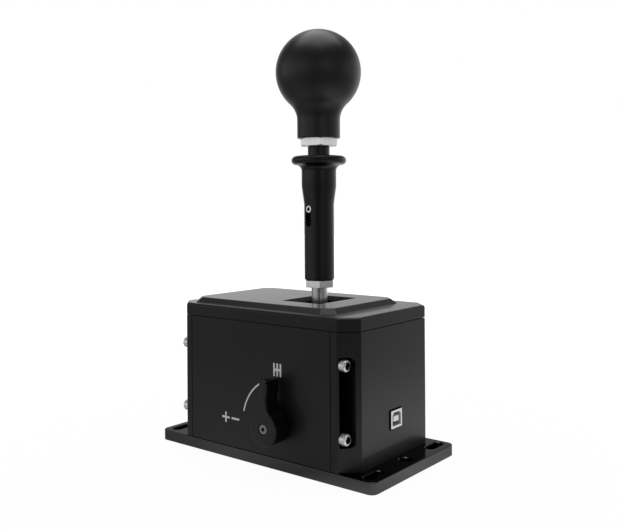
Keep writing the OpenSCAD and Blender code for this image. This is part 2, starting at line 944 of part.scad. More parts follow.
// Socket outline in the end face, Y to the right and Z up, with clipped upper corners
module usb_mouth() {
  half_w = usb_w / 2 - usb_wall;
  half_h = usb_h / 2 - usb_wall;
  polygon([
    [-half_w, -half_h], [half_w, -half_h], [half_w, half_h - usb_clip],
    [half_w - usb_clip, half_h], [-half_w + usb_clip, half_h], [-half_w, half_h - usb_clip]
  ]);
}

module usb_shell() {
  color(bright)
    difference() {
      translate([board_out, -usb_w / 2, usb_z - usb_h / 2])
        cube([end_x - board_out, usb_w, usb_h]);
      translate([end_x - usb_depth, 0, usb_z])
        rotate([90, 0, 90])
          linear_extrude(usb_depth + cut)
            usb_mouth();
    }
}

module usb_tongue() {
  color(pale)
    translate([end_x - usb_depth, -tongue_w / 2, usb_z - tongue_h / 2])
      cube([tongue_len, tongue_w, tongue_h]);
}

// Gimbal

module gimbal_frame() {
  shelf_y = plunger_y + plunger_d;
  color(dark_steel)
    difference() {
      union() {
        at_lever(pivot_z)
          linear_extrude(frame_h, center = true)
            difference() {
              square([2 * frame_out_x, 2 * frame_out_y], center = true);
              square([2 * frame_in_x, 2 * frame_in_y], center = true);
            }
        translate([lever_x - shelf_w / 2, frame_in_y, pivot_z + frame_h / 2])
          cube([shelf_w, frame_end_t, shelf_z + shelf_h - pivot_z - frame_h / 2]);
        translate([lever_x - shelf_w / 2, frame_in_y, shelf_z])
          cube([shelf_w, shelf_y - frame_in_y, shelf_h]);
      }
      for (side = [-1, 1]) {
        at_lever(pivot_z)
          rotate([0, side * 90, 0])
            translate([0, 0, frame_in_x - cut])
              cylinder(d = select_pin_d + 2 * fit_clear, h = frame_side_t + 2 * cut);
        at_lever(pivot_z)
          rotate([-side * 90, 0, 0])
            translate([0, 0, frame_in_y - cut])
              cylinder(r = bush_hole_r(throw_pin_d), h = frame_end_t + 2 * cut);
      }
      translate([lever_x, plunger_y, shelf_z - cut])
        cylinder(d = plunger_d + 2 * fit_clear, h = shelf_h + 2 * cut);
    }
}

module select_trunnions() {
  color(steel)
    for (side = [-1, 1])
      at_lever(pivot_z)
        rotate([0, side * 90, 0])
          translate([0, 0, frame_in_x])
            cylinder(d = select_pin_d, h = select_pin_end - frame_in_x);
}

module throw_bushes() {
  color(bronze)
    for (side = [-1, 1])
      at_lever(pivot_z)
        rotate([-side * 90, 0, 0])
          translate([0, 0, frame_in_y])
            flanged_bush(throw_pin_d, frame_end_t);
}

module select_magnet() {
  color(bright)
    at_lever(pivot_z)
      rotate([0, 90, 0])
        translate([0, 0, select_pin_end])
          cylinder(d = select_pin_d * magnet_share, h = magnet_t);
}

module throw_sensor_board() {
  color(board_green) {
    translate([lever_x - sensor_w / 2, -sensor_y - board_t, pivot_z - sensor_h / 2])
      cube([sensor_w, board_t, sensor_h]);
    translate([lever_x - chip_w / 2, -sensor_y - chip_t, pivot_z - chip_w / 2])
      cube([chip_w, 2 * chip_t, chip_w]);
  }
}

module sensor_posts() {
  color(steel)
    for (side = [-1, 1])
      translate([lever_x + side * sensor_post_x, -frame_out_y, pivot_z])
        rotate([90, 0, 0])
          cylinder(d = sensor_post_d, h = sensor_y - frame_out_y);
}

module throw_detent_plunger() {
  ball_low = pivot_z + disc_r + body_gap;
  color(steel)
    translate([lever_x, plunger_y, 0]) {
      translate([0, 0, shelf_z])
        cylinder(d = plunger_d, h = shelf_h + plunger_top);
      translate([0, 0, ball_low + plunger_ball_r])
        sphere(plunger_ball_r);
    }
}

// Lever

module pivot_block() {
  color(steel)
    difference() {
      at_lever(pivot_z)
        cube([block_w, block_w, block_h], center = true);
      at_lever(pivot_z - block_h / 2 - cut)
        cylinder(r = rod_r + fit_clear, h = block_h + 2 * cut);
      at_lever(pivot_z)
        rotate([90, 0, 0])
          cylinder(d = throw_pin_d + 2 * fit_clear, h = block_w + 2 * cut, center = true);
      at_lever(pivot_z)
        rotate([0, -90, 0])
          cylinder(d = screw_d + 2 * fit_clear, h = block_half + cut);
    }
}

module pivot_set_screw() {
  set_len = block_half - rod_r - fit_clear;
  color(dark_steel)
    at_lever(pivot_z)
      rotate([0, -90, 0])
        translate([0, 0, rod_r + fit_clear])
          difference() {
            cylinder(d = screw_d, h = set_len);
            translate([0, 0, set_len / 2])
              cylinder(d = screw_d * socket_share, h = set_len, $fn = 6);
          }
}

module throw_trunnions() {
  color(steel)
    at_lever(pivot_z) {
      rotate([90, 0, 0])
        translate([0, 0, throw_pin_in])
          cylinder(d = throw_pin_d, h = throw_pin_front - throw_pin_in);
      rotate([-90, 0, 0])
        translate([0, 0, throw_pin_in])
          cylinder(d = throw_pin_d, h = throw_pin_rear - throw_pin_in);
    }
}

module throw_magnet() {
  color(bright)
    at_lever(pivot_z)
      rotate([90, 0, 0])
        translate([0, 0, throw_pin_front])
          cylinder(d = throw_pin_d, h = magnet_t);
}

// Disc with a notch for neutral and one for each throw
module detent_disc() {
  color(dark_steel)
    at_lever(pivot_z)
      rotate([90, 0, 0])
        translate([0, 0, -disc_y - disc_t])
          linear_extrude(disc_t)
            difference() {
              circle(disc_r);
              circle(throw_pin_d / 2 + fit_clear);
              for (step = [-1, 0, 1])
                rotate(step * throw_deg)
                  translate([0, disc_r])
                    circle(notch_r);
            }
}

module lever_rod() {
  top_z = adapter_z + adapter_socket;
  color(steel)
    difference() {
      at_lever(rod_z)
        cylinder(r = rod_r, h = top_z - rod_z);
      at_lever(rod_z - cut)
        cylinder(r = finger_stem_r + fit_clear, h = finger_stem_len + 2 * cut);
      at_guide()
        cylinder(d = guide_shank_d + 2 * fit_clear, h = rod_r);
    }
}

// The guide screw's axis, with Z turned out of the sleeve, starting where the screw ends
module at_guide() {
  at_lever(guide_z)
    rotate([90, 0, -guide_turn])
      translate([0, 0, guide_bite])
        children();
}

module gate_finger() {
  color(steel)
    at_lever(0) {
      translate([0, 0, finger_z])
        sphere(finger_r);
      translate([0, 0, finger_z])
        cylinder(r = finger_neck_r, h = rod_z - finger_z);
      translate([0, 0, rod_z - finger_collar_h])
        cylinder(r = rod_r - fit_clear, h = finger_collar_h);
      translate([0, 0, rod_z - finger_collar_h])
        cylinder(r = finger_stem_r, h = finger_collar_h + finger_stem_len);
    }
}

module lower_nut() {
  corner_turn = 8;
  color(steel)
    at_lever(lower_nut_z)
      rotate(corner_turn)
        hex_nut(lower_nut_af, lower_nut_h, rod_r + fit_clear);
}

module upper_nut() {
  corner_turn = 13;
  color(bright)
    at_lever(upper_nut_z)
      rotate(corner_turn)
        hex_nut(upper_nut_af, upper_nut_h, stud_d / 2 + fit_clear);
}

// Black tube that joins the rod to the knob and carries the guide screw
module knob_adapter() {
  color(moulded)
    difference() {
      union() {
        at_lever(adapter_z)
          cylinder(d = adapter_d, h = upper_nut_z - adapter_z);
        at_lever(upper_nut_z)
          cylinder(d = stud_d, h = upper_nut_h + stud_len);
      }
      at_lever(adapter_z - cut)
        cylinder(r = rod_r + fit_clear, h = adapter_socket + cut);
      at_guide()
        cylinder(d = guide_shank_d + 2 * fit_clear, h = adapter_d);
    }
}

module guide_screw() {
  shank_len = sleeve_bore_r + body_gap - guide_bite;
  head_len = sleeve_d / 2 - sleeve_bore_r - 2 * body_gap;
  color(bright)
    at_guide()
      translate([0, 0, shank_len])
        cap_screw(guide_shank_d, shank_len, guide_d, head_len);
}

module lift_spring() {
  base_z = sleeve_z + sleeve_guide_len + body_gap;
  color(steel)
    at_lever(base_z)
      coil_spring(lift_spring_r, lift_wire_r, adapter_z - base_z, lift_spring_turns);
}

module shift_knob() {
  color(moulded)
    difference() {
      at_lever(0)
        rotate_extrude() {
          intersection() {
            translate([0, ball_z])
              circle(ball_r);
            translate([0, ball_z - ball_r])
              square([ball_r, 2 * ball_r]);
          }
          difference() {
            polygon([
              [0, knob_z], [neck_r, knob_z], [neck_r, fillet_z], [fillet_x, fillet_z],
              [touch_x, touch_z], [0, ball_z]
            ]);
            translate([fillet_x, fillet_z])
              circle(neck_fillet);
          }
        }
      at_lever(knob_z - cut)
        cylinder(r = insert_r + fit_clear, h = insert_len + cut);
    }
}

module knob_insert() {
  color(bronze)
    at_lever(knob_z)
      difference() {
        cylinder(r = insert_r, h = insert_len);
        translate([0, 0, -cut])
          cylinder(r = stud_d / 2 + fit_clear, h = insert_len + 2 * cut);
      }
}

// Lift sleeve: turned tube with a cone, a flared finger flange and a guide slot
module lift_sleeve() {
  sleeve_r = sleeve_d / 2;
  collar_r = collar_d / 2;
  rim_r = flange_h / 2;
  rim_x = flange_d / 2 - rim_r;
  foot = 1;
  slot_top = guide_z + guide_d / 2 + body_gap;
  slot_bottom = guide_z - lift_travel - sleeve_slot_w / 2 - slot_spare;
  color(moulded)
    difference() {
      at_lever(0)
        rotate_extrude() {
          polygon([
            [0, sleeve_z], [sleeve_r - foot, sleeve_z], [sleeve_r, sleeve_z + foot], [sleeve_r, cone_z],
            [collar_r, collar_z], [collar_r, flange_z], [0, flange_z]
          ]);
          difference() {
            translate([0, flare_z])
              square([collar_r + flare_r, flare_r]);
            translate([collar_r + flare_r, flare_z])
              circle(flare_r);
          }
          translate([0, flange_z])
            square([rim_x, flange_h]);
          translate([rim_x, flange_z + rim_r])
            circle(rim_r);
        }
      at_lever(sleeve_z - cut)
        cylinder(r = rod_r + run_clear, h = sleeve_guide_len + 2 * cut);
      at_lever(sleeve_z + sleeve_guide_len)
        cylinder(r = sleeve_bore_r, h = sleeve_top - sleeve_z - sleeve_guide_len + cut);
      at_lever((slot_top + slot_bottom) / 2)
        rotate([90, 0, -guide_turn])
          linear_extrude(sleeve_d)
            slot_shape(sleeve_slot_w, slot_top - slot_bottom);
    }
}

// Mode selector

// Outline round the pivot, arm pointing up
module selector_outline() {
  circle(boss_r);
  difference() {
    polygon([[0, 0], [flank_x, waist_h], [-flank_x, waist_h]]);
    for (side = [-1, 1])
      translate([side * flank_x, waist_h])
        circle(flank_r);
  }
  polygon([
    [-waist_w / 2, waist_h], [waist_w / 2, waist_h],
    [tip_w / 2, tip_h - tip_w / 2], [-tip_w / 2, tip_h - tip_w / 2]
  ]);
  translate([0, tip_h - tip_w / 2])
    circle(d = tip_w);
}

module selector_lever() {
  color(moulded)
    difference() {
      at_selector(selector_back)
        linear_extrude(selector_back - selector_face)
          selector_outline();
      at_selector(selector_back + cut)
        cylinder(d = selector_shaft_d + 2 * fit_clear, h = selector_socket + cut);
      at_selector(selector_back)
        cylinder(d = small_screw_d + 2 * hole_room, h = selector_out);
      at_selector(selector_face + head_h)
        cylinder(d = small_head_d + 2 * hole_room, h = head_h + cut);
    }
}

module selector_screw() {
  color(bright)
    at_selector(selector_face + head_h)
      cap_screw(small_screw_d, selector_out - head_h - selector_gap, small_head_d, head_h - body_gap);
}

module selector_shaft() {
  shaft_face = selector_back - selector_socket;
  shaft_end = cam_y + cam_t;
  color(steel)
    difference() {
      at_selector(shaft_end)
        cylinder(d = selector_shaft_d, h = shaft_end - shaft_face);
      at_selector(selector_back + cut)
        cylinder(d = small_screw_d + 2 * fit_clear, h = selector_out);
    }
}

module selector_bush() {
  color(bronze)
    at_selector(-panel_in)
      flanged_bush(selector_shaft_d, panel_t);
}

// Cam with a lobe for the mode switch and a notch for each of its two positions
module mode_cam() {
  color(dark_steel)
    at_selector(cam_y + cam_t)
      linear_extrude(cam_t)
        difference() {
          union() {
            circle(cam_r);
            translate([0, cam_lobe_out])
              circle(cam_lobe_r);
          }
          circle(selector_shaft_d / 2 + fit_clear);
          for (turn = [0, -90])
            rotate(turn)
              translate([cam_r, 0])
                circle(cam_notch_r);
        }
}

module mode_detent_block() {
  color(dark_steel)
    difference() {
      translate([mode_block_x, -panel_in, selector_z - mode_block_h / 2])
        cube([mode_block_len, mode_block_t, mode_block_h]);
      translate([mode_block_x - cut, cam_y + cam_t / 2, selector_z])
        rotate([0, 90, 0])
          cylinder(d = mode_plunger_d + 2 * fit_clear, h = mode_block_len + 2 * cut);
      at_mode_screws()
        translate([0, 0, -mode_block_t - cut])
          cylinder(d = small_screw_d + 2 * hole_room, h = mode_block_t + 2 * cut);
    }
}

module mode_detent_plunger() {
  color(steel)
    translate([0, cam_y + cam_t / 2, selector_z]) {
      translate([mode_block_x, 0, 0])
        rotate([0, 90, 0])
          cylinder(d = mode_plunger_d, h = mode_block_len);
      translate([selector_x + cam_r + body_gap + mode_ball_r, 0, 0])
        sphere(mode_ball_r);
    }
}

module mode_detent_screws() {
  color(steel)
    at_mode_screws()
      cap_screw(small_screw_d, mode_block_t + mode_screw_bite - tip_room, small_head_d, flat_head_h);
}

// Switch that the cam's lobe presses in the second position
module mode_switch() {
  color(moulded)
    translate([switch_x - switch_w, -panel_in, selector_z - switch_h / 2]) {
      cube([switch_w, switch_t, switch_h]);
      translate([switch_w, switch_t / 4, switch_h / 2 - switch_button])
        cube([switch_button, switch_t / 2, 2 * switch_button]);
    }
}

base_plate();
left_end_plate();
right_end_plate();
front_panel();
rear_panel();
lid();
corner_screws();
tie_bolts();
left_bracket();
right_bracket();
bracket_screws();
bracket_bushes();
gate_plate();
gate_spacers();
gate_screws();
spring_seats();
select_springs();
main_board();
board_chips();
board_spacers();
board_screws();
usb_shell();
usb_tongue();
selector_bush();
mode_detent_block();
mode_detent_plunger();
mode_detent_screws();
mode_switch();
gimbal_frame();
select_trunnions();
throw_bushes();
select_magnet();
throw_sensor_board();
sensor_posts();
throw_detent_plunger();
pivot_block();
pivot_set_screw();
throw_trunnions();
throw_magnet();
detent_disc();
lever_rod();
gate_finger();
lower_nut();
knob_adapter();
guide_screw();
lift_spring();
upper_nut();
shift_knob();
knob_insert();
lift_sleeve();
selector_lever();
selector_screw();
selector_shaft();
mode_cam();
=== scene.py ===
# %% [markdown]
# A gear shifter for racing games, dressed for its picture.
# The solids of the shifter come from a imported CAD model, in metres, and stay where they are.
# This lesson gives every surface its real finish: the pieces that show are modelled again with soft
# edges, and the pieces inside keep their CAD mesh and get a material.

import json
import math

import bmesh
import bpy
from mathutils import Matrix, Vector


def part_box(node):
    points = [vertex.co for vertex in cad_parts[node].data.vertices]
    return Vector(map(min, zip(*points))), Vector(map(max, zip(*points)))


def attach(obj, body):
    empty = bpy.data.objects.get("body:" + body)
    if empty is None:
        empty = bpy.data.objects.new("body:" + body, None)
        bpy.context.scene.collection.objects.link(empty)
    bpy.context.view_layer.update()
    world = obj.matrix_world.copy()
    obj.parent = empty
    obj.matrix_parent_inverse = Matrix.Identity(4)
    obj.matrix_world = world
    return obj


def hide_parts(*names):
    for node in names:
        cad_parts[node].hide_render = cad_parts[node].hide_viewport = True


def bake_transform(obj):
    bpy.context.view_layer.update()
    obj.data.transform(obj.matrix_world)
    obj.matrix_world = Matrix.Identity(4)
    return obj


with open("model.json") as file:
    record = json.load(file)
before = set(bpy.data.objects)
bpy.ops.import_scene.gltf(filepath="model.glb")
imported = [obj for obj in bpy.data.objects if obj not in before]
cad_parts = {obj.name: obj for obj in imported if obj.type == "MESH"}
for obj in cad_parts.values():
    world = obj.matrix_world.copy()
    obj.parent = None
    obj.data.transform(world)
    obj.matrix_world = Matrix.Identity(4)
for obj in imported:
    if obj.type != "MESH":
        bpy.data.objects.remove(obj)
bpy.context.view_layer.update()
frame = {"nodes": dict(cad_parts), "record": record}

# %% [markdown]
# The camera stands where the photographer stood: level, to the right of the front panel, a little above
# the lid. A level camera keeps upright edges upright, and a lens shift lowers the frame, as an
# architecture lens does. Tilting the camera down would make the housing's edges lean.

# %% Camera
PHOTO_WIDTH, PHOTO_HEIGHT = 617, 530
FOCAL_PIXELS = 779.4
HORIZON_ROW = 205.9
CAMERA_PLACE = Vector((0.3258, -0.3991, 0.1589))
CAMERA_AZIMUTH = math.radians(38.73)
CAMERA_ROLL = math.radians(-0.34)

lens = bpy.data.cameras.new("photo_camera")
lens.sensor_width = 36.0
lens.lens = lens.sensor_width * FOCAL_PIXELS / PHOTO_WIDTH
lens.shift_y = (HORIZON_ROW - PHOTO_HEIGHT / 2) / PHOTO_WIDTH
lens.clip_start = 0.01
camera = bpy.data.objects.new("photo_camera", lens)
bpy.context.scene.collection.objects.link(camera)
upright = Matrix.Rotation(CAMERA_AZIMUTH, 4, "Z") @ Matrix.Rotation(math.radians(90), 4, "X")
camera.matrix_world = Matrix.Translation(CAMERA_PLACE) @ upright @ Matrix.Rotation(CAMERA_ROLL, 4, "Z")
bpy.context.scene.camera = camera
print("lens in mm:", round(lens.lens, 2), "shift:", round(lens.shift_y, 4))

# %% [markdown]
# Materials are small graphs of nodes. One function adds a node, sets its values and draws its links, so
# a graph reads from top to bottom. Colours are written as sRGB hex values, as a colour picker shows them,
# and shaders want linear light, so one function turns the first into the second.

# %% Nodes and colours
def linear(hex_colour):
    """An sRGB hex colour as linear red, green, blue and alpha."""
    parts = [int(hex_colour[i:i + 2], 16) / 255 for i in (1, 3, 5)]
    return [c / 12.92 if c <= 0.04045 else ((c + 0.055) / 1.055) ** 2.4 for c in parts] + [1.0]


def add_node(tree, kind, inputs, **settings):
    """A new node with its settings, and its inputs set to values or linked to sockets."""
    node = tree.nodes.new(kind)
    for name, value in settings.items():
        setattr(node, name, value)
    for name, value in inputs.items():
        if isinstance(value, bpy.types.NodeSocket):
            tree.links.new(value, node.inputs[name])
        else:
            node.inputs[name].default_value = value
    return node


def begin_material(name):
    """A material with an empty graph, and the Object coordinates that its patterns read."""
    material = bpy.data.materials.new(name)
    material.use_nodes = True
    material.node_tree.nodes.clear()
    place = add_node(material.node_tree, "ShaderNodeTexCoord", {}).outputs["Object"]
    return material, material.node_tree, place


print("mid grey in linear light:", [round(c, 3) for c in linear("#808080")])

# %% [markdown]
# The studio is a pale room with a soft box overhead. Black metal shows little but what it mirrors, so the
# room matters more than the lamp. How bright the room looks is written as a ramp round the compass, once
# for the walls and once for the part above them, and the two blend with the height. The stops run from
# the left side over the front, the right and the back. A photograph of a room on a sphere would do it
# too, but a ramp can be read and changed.
# Camera rays see pure white. Mirrored and refracted rays see the room.

# %% World
WALLS = (0.00, 1.16, 0.94, 0.90, 0.00, 0.92, 0.19, 0.74, 0.93, 1.30, 0.59, 0.84)
UPPER = (0.00, 0.25, 0.00, 0.00, 0.00, 0.00, 0.22, 0.82)
CEILING = 0.50
FILL_LIGHT = 0.65
# Heights where one part of the room turns into the next, as sines of the angle above the horizon.
WALL_TOP = (0.174, 0.574)
CEILING_EDGE = (0.766, 0.966)


def compass_ramp(tree, direction, strengths):
    """Brightness round the compass, with evenly spaced stops that begin at the left."""
    turn = add_node(tree, "ShaderNodeTexGradient", {"Vector": direction}, gradient_type="RADIAL")
    ramp = add_node(tree, "ShaderNodeValToRGB", {"Fac": turn.outputs["Fac"]})
    stops = ramp.color_ramp.elements
    stops.remove(stops[1])
    for i, strength in enumerate(strengths + strengths[:1]):
        stop = stops.new(i / len(strengths)) if i else stops[0]
        stop.color = (strength, strength, strength, 1)
    return ramp.outputs["Color"]


bpy.context.scene.view_settings.view_transform = "Standard"
world = bpy.data.worlds.new("pale_studio")
bpy.context.scene.world = world
world.use_nodes = True
sky = world.node_tree
sky.nodes.clear()
ray = add_node(sky, "ShaderNodeLightPath", {})
direction = add_node(sky, "ShaderNodeTexCoord", {}).outputs["Generated"]
height = add_node(sky, "ShaderNodeSeparateXYZ", {"Vector": direction}).outputs["Z"]
rise = add_node(sky, "ShaderNodeMapRange", {
    "Value": height, "From Min": WALL_TOP[0], "From Max": WALL_TOP[1]}, interpolation_type="SMOOTHSTEP")
crown = add_node(sky, "ShaderNodeMapRange", {
    "Value": height, "From Min": CEILING_EDGE[0], "From Max": CEILING_EDGE[1]},
    interpolation_type="SMOOTHSTEP")
walls = add_node(sky, "ShaderNodeMix", {
    "Factor": rise.outputs["Result"], "A": compass_ramp(sky, direction, WALLS),
    "B": compass_ramp(sky, direction, UPPER)})
ceiling = add_node(sky, "ShaderNodeMix", {
    "Factor": crown.outputs["Result"], "A": walls.outputs["Result"], "B": CEILING})
mirrored = add_node(sky, "ShaderNodeMath", {
    0: ray.outputs["Is Glossy Ray"], 1: ray.outputs["Is Transmission Ray"]}, operation="MAXIMUM")
around = add_node(sky, "ShaderNodeMix", {
    "Factor": mirrored.outputs["Value"], "A": FILL_LIGHT, "B": ceiling.outputs["Result"]})
strength = add_node(sky, "ShaderNodeMix", {
    "Factor": ray.outputs["Is Camera Ray"], "A": around.outputs["Result"], "B": 1.0})
background = add_node(sky, "ShaderNodeBackground", {
    "Color": (1, 1, 1, 1), "Strength": strength.outputs["Result"]})
add_node(sky, "ShaderNodeOutputWorld", {"Surface": background.outputs["Background"]})
print("walls from", min(WALLS), "to", max(WALLS), "above them from", min(UPPER), "to", max(UPPER))

# %% [markdown]
# One large soft box hangs above the shifter and a little behind it. A soft box is an area lamp here: a
# sheet that sends light one way, and unturned that way is down. A point lamp would give hard little
# highlights instead.

# %% Soft box
BOX_PLACE = (-0.08, 0.1, 1.05)
BOX_SIDE = 0.9
BOX_WATTS = 6.7

lamp = bpy.data.lights.new("overhead_box", "AREA")
lamp.size = BOX_SIDE
lamp.energy = BOX_WATTS
overhead = bpy.data.objects.new("overhead_box", lamp)
bpy.context.scene.collection.objects.link(overhead)
overhead.matrix_world = Matrix.Translation(BOX_PLACE)
print("lamp in watts:", lamp.energy)

# %% [markdown]
# The floor is a pale sheet under the base plate. For the camera most of it glows white, so that it melts
# into the background, and the rest is a plain diffuse surface that takes the shadow. The glow grows away
# from the object, where the soft box gives less light. Black metal mirrors the floor as well as the room,
# so mirrored rays see it as a ramp round the compass, one close by and one further off.

# %% Floor
FLOOR_HALF = 3.0
FLOOR_DROP = 0.0002
FLOOR_GLOW = 0.95
GLOW_GROWS = (0.2, 0.9)
GLOW_STRENGTH = (1.0, 1.3)
NEAR_TO_FAR = (0.12, 0.45)
FLOOR_NEAR = (0.24, 0.68, 0.36, 1.43, 1.06, 1.50)
FLOOR_FAR = (0.21, 0.38, 0.00, 0.12, 0.58, 1.37)

sheet = bmesh.new()
bmesh.ops.create_grid(sheet, x_segments=2, y_segments=2, size=FLOOR_HALF)
bmesh.ops.translate(sheet, verts=sheet.verts, vec=(0, 0, -FLOOR_DROP))
floor_mesh = bpy.data.meshes.new("studio_floor")
sheet.to_mesh(floor_mesh)
sheet.free()
paper, tree, place = begin_material("pale_paper_floor")
ray = add_node(tree, "ShaderNodeLightPath", {})
matte = add_node(tree, "ShaderNodeBsdfDiffuse", {"Color": linear("#f2f2f2")})
away = add_node(tree, "ShaderNodeVectorMath", {0: place}, operation="LENGTH")
lift = add_node(tree, "ShaderNodeMapRange", {
    "Value": away.outputs["Value"], "From Min": GLOW_GROWS[0], "From Max": GLOW_GROWS[1],
    "To Min": GLOW_STRENGTH[0], "To Max": GLOW_STRENGTH[1]})
glow = add_node(tree, "ShaderNodeEmission", {"Color": (1, 1, 1, 1), "Strength": lift.outputs["Result"]})
bright = add_node(tree, "ShaderNodeMixShader", {
    0: FLOOR_GLOW, 1: matte.outputs["BSDF"], 2: glow.outputs["Emission"]})
bearing = add_node(tree, "ShaderNodeVectorMath", {0: place}, operation="NORMALIZE").outputs["Vector"]
far = add_node(tree, "ShaderNodeMapRange", {
    "Value": away.outputs["Value"], "From Min": NEAR_TO_FAR[0], "From Max": NEAR_TO_FAR[1]},
    interpolation_type="SMOOTHSTEP")
mirror_light = add_node(tree, "ShaderNodeMix", {
    "Factor": far.outputs["Result"], "A": compass_ramp(tree, bearing, FLOOR_NEAR),
    "B": compass_ramp(tree, bearing, FLOOR_FAR)})
mirror_glow = add_node(tree, "ShaderNodeEmission", {
    "Color": (1, 1, 1, 1), "Strength": mirror_light.outputs["Result"]})
mirrored = add_node(tree, "ShaderNodeMath", {
    0: ray.outputs["Is Glossy Ray"], 1: ray.outputs["Is Transmission Ray"]}, operation="MAXIMUM")
for_mirrors = add_node(tree, "ShaderNodeMixShader", {
    0: mirrored.outputs["Value"], 1: matte.outputs["BSDF"], 2: mirror_glow.outputs["Emission"]})
shown = add_node(tree, "ShaderNodeMixShader", {
    0: ray.outputs["Is Camera Ray"], 1: for_mirrors.outputs["Shader"], 2: bright.outputs["Shader"]})
add_node(tree, "ShaderNodeOutputMaterial", {"Surface": shown.outputs["Shader"]})
floor_mesh.materials.append(paper)
floor = bpy.data.objects.new("studio_floor", floor_mesh)
bpy.context.scene.collection.objects.link(floor)
print("floor side in m:", 2 * FLOOR_HALF)

# %% [markdown]
# The plates of the housing are aluminium that was bead blasted and then anodised black. Blasting leaves
# a fine even grit, and the dye sinks into the oxide, so the metal is nearly black face on and turns pale
# grey where the eye grazes it. A dark metallic shader does that, and a thin coat adds the clearer mirror
# that the sealed oxide shows at a flat angle. The real grit is about 0.1 mm, too fine to show here, so it
# is drawn at 0.5 mm. Pockets and the walls of holes send little light back out, and that shade is painted:
# they take the same finish in a deeper black with a dark edge tint.

# %% Bead-blasted black anodised aluminium
NOISE_LOW, NOISE_HIGH = 0.3, 0.7  # where most of a noise pattern lies


def fine_skin(name, tones, cloud_mm, grain_mm, rough, shader_values, bump=None, detail=2.0):
    """A skin whose colour drifts in wide clouds, and whose fine grain sets its gloss and relief."""
    material, tree, place = begin_material(name)
    cloud = add_node(tree, "ShaderNodeTexNoise", {
        "Vector": place, "Scale": 1000 / cloud_mm, "Detail": detail})
    grain = add_node(tree, "ShaderNodeTexNoise", {"Vector": place, "Scale": 1000 / grain_mm})
    tone = add_node(tree, "ShaderNodeMix", {
        "Factor": cloud.outputs["Fac"], 6: linear(tones[0]), 7: linear(tones[1])}, data_type="RGBA")
    gloss = add_node(tree, "ShaderNodeMapRange", {
        "Value": grain.outputs["Fac"], "From Min": NOISE_LOW, "From Max": NOISE_HIGH,
        "To Min": rough[0], "To Max": rough[1]})
    skin = add_node(tree, "ShaderNodeBsdfPrincipled", {
        "Base Color": tone.outputs[2], "Roughness": gloss.outputs["Result"], **shader_values})
    if bump:
        relief = add_node(tree, "ShaderNodeBump", {
            "Strength": bump[0], "Distance": bump[1], "Height": grain.outputs["Fac"]})
        tree.links.new(relief.outputs["Normal"], skin.inputs["Normal"])
    add_node(tree, "ShaderNodeOutputMaterial", {"Surface": skin.outputs["BSDF"]})
    return material


def blasted_anodised(name, tones, edge_tint):
    """Black metal, rough face on and glossy where the eye grazes it."""
    return fine_skin(name, tones, 50, 0.5, (0.45, 0.55), {
        "Metallic": 1.0, "Specular Tint": linear(edge_tint),
        "Coat Weight": 1.0, "Coat Roughness": 0.12, "Coat IOR": 1.12}, (0.12, 0.00004), 3.0)


anodised = blasted_anodised("bead_blasted_black_anodised_aluminium", ("#2f2f31", "#343435"), "#ffffff")
# Painted shade: a deeper black with a dark edge tint, for pocket and hole walls where little light comes
# back.
painted_recess_shade = blasted_anodised("painted_shade_in_recesses", ("#0a0a0a", "#0e0e0e"), "#404040")
print("made", anodised.name, painted_recess_shade.name)

# %% [markdown]
# The base plate was milled and sealed without blasting. It is as dark as the housing, but smooth, so it
# mirrors the floor and the room softly and looks brighter than the panels above it. A varnish over black
# paint would mirror too strongly at a flat angle, so this is a metal with a darker tint at its edge.
# The milling marks are about 0.1 mm apart, and they are drawn at 0.5 mm.

# %% Milled and sealed black plate
gloss_black = fine_skin("milled_sealed_black_plate", ("#464648", "#4a4a4b"), 50, 0.5, (0.12, 0.18), {
    "Metallic": 1.0, "Specular Tint": linear("#c4c4c4")}, detail=3.0)
print("made", gloss_black.name)

# %% [markdown]
# The housing's pieces are cut as a mill cuts them: a blank, then the holes taken out of it with a Boolean,
# then every sharp edge broken with a small bevel, because no real edge is perfectly sharp and the bevel is
# what catches the light. These helpers are the mill's tools. Bevel and Boolean modifiers could stay live,
# but faces can only get a second finish once the cuts are done.
# Pieces are modelled in millimetres and brought to metres when they are finished.

# %% Helpers for milled pieces
MM = 0.001
SAME_PLACE = 0.002
SAME_PLANE = math.radians(0.5)


def box_mm(node):
    """A CAD node's lowest and highest corners, in millimetres."""
    low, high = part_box(node)
    return low / MM, high / MM


def pull(bm, faces, rise, leave=True):
    """Extrudes faces along Z, and leaves the first ones as a cap or takes them away."""
    grown = bmesh.ops.extrude_face_region(bm, geom=faces)["geom"]
    bmesh.ops.translate(bm, verts=[v for v in grown if isinstance(v, bmesh.types.BMVert)], vec=(0, 0, rise))
    if not leave:
        bmesh.ops.delete(bm, geom=faces, context="FACES_ONLY")


def prism(corners, low, high):
    """A straight block over an outline in X and Y, from one height to another."""
    bm = bmesh.new()
    face = bm.faces.new([bm.verts.new((x, y, low)) for x, y in corners])
    pull(bm, [face], high - low)
    bmesh.ops.recalc_face_normals(bm, faces=bm.faces)
    return bm


def rounded_block(width, depth, radius, low, high, segments=10):
    """A centred block whose four upright edges are round."""
    x, y = width / 2, depth / 2
    bm = prism([(-x, -y), (x, -y), (x, y), (-x, y)], low, high)
    upright_edges = [e for e in bm.edges if abs(e.verts[0].co.z - e.verts[1].co.z) > 1e-6]
    bmesh.ops.bevel(bm, geom=upright_edges, offset=radius, offset_type="OFFSET", affect="EDGES",
                    segments=segments, profile=0.5, material=-1)
    return bm


def bar(radius, start, end, segments=40):
    """A round bar between two points."""
    start, end = Vector(start), Vector(end)
    turn = (end - start).to_track_quat("Z", "Y").to_matrix().to_4x4()
    bm = bmesh.new()
    bmesh.ops.create_cone(bm, cap_ends=True, segments=segments, radius1=radius, radius2=radius,
                          depth=(end - start).length, matrix=Matrix.Translation((start + end) / 2) @ turn)
    return bm


def moved(bm, matrix):
    """The same mesh after a move or a turn."""
    bmesh.ops.transform(bm, matrix=matrix, verts=bm.verts)
    return bm


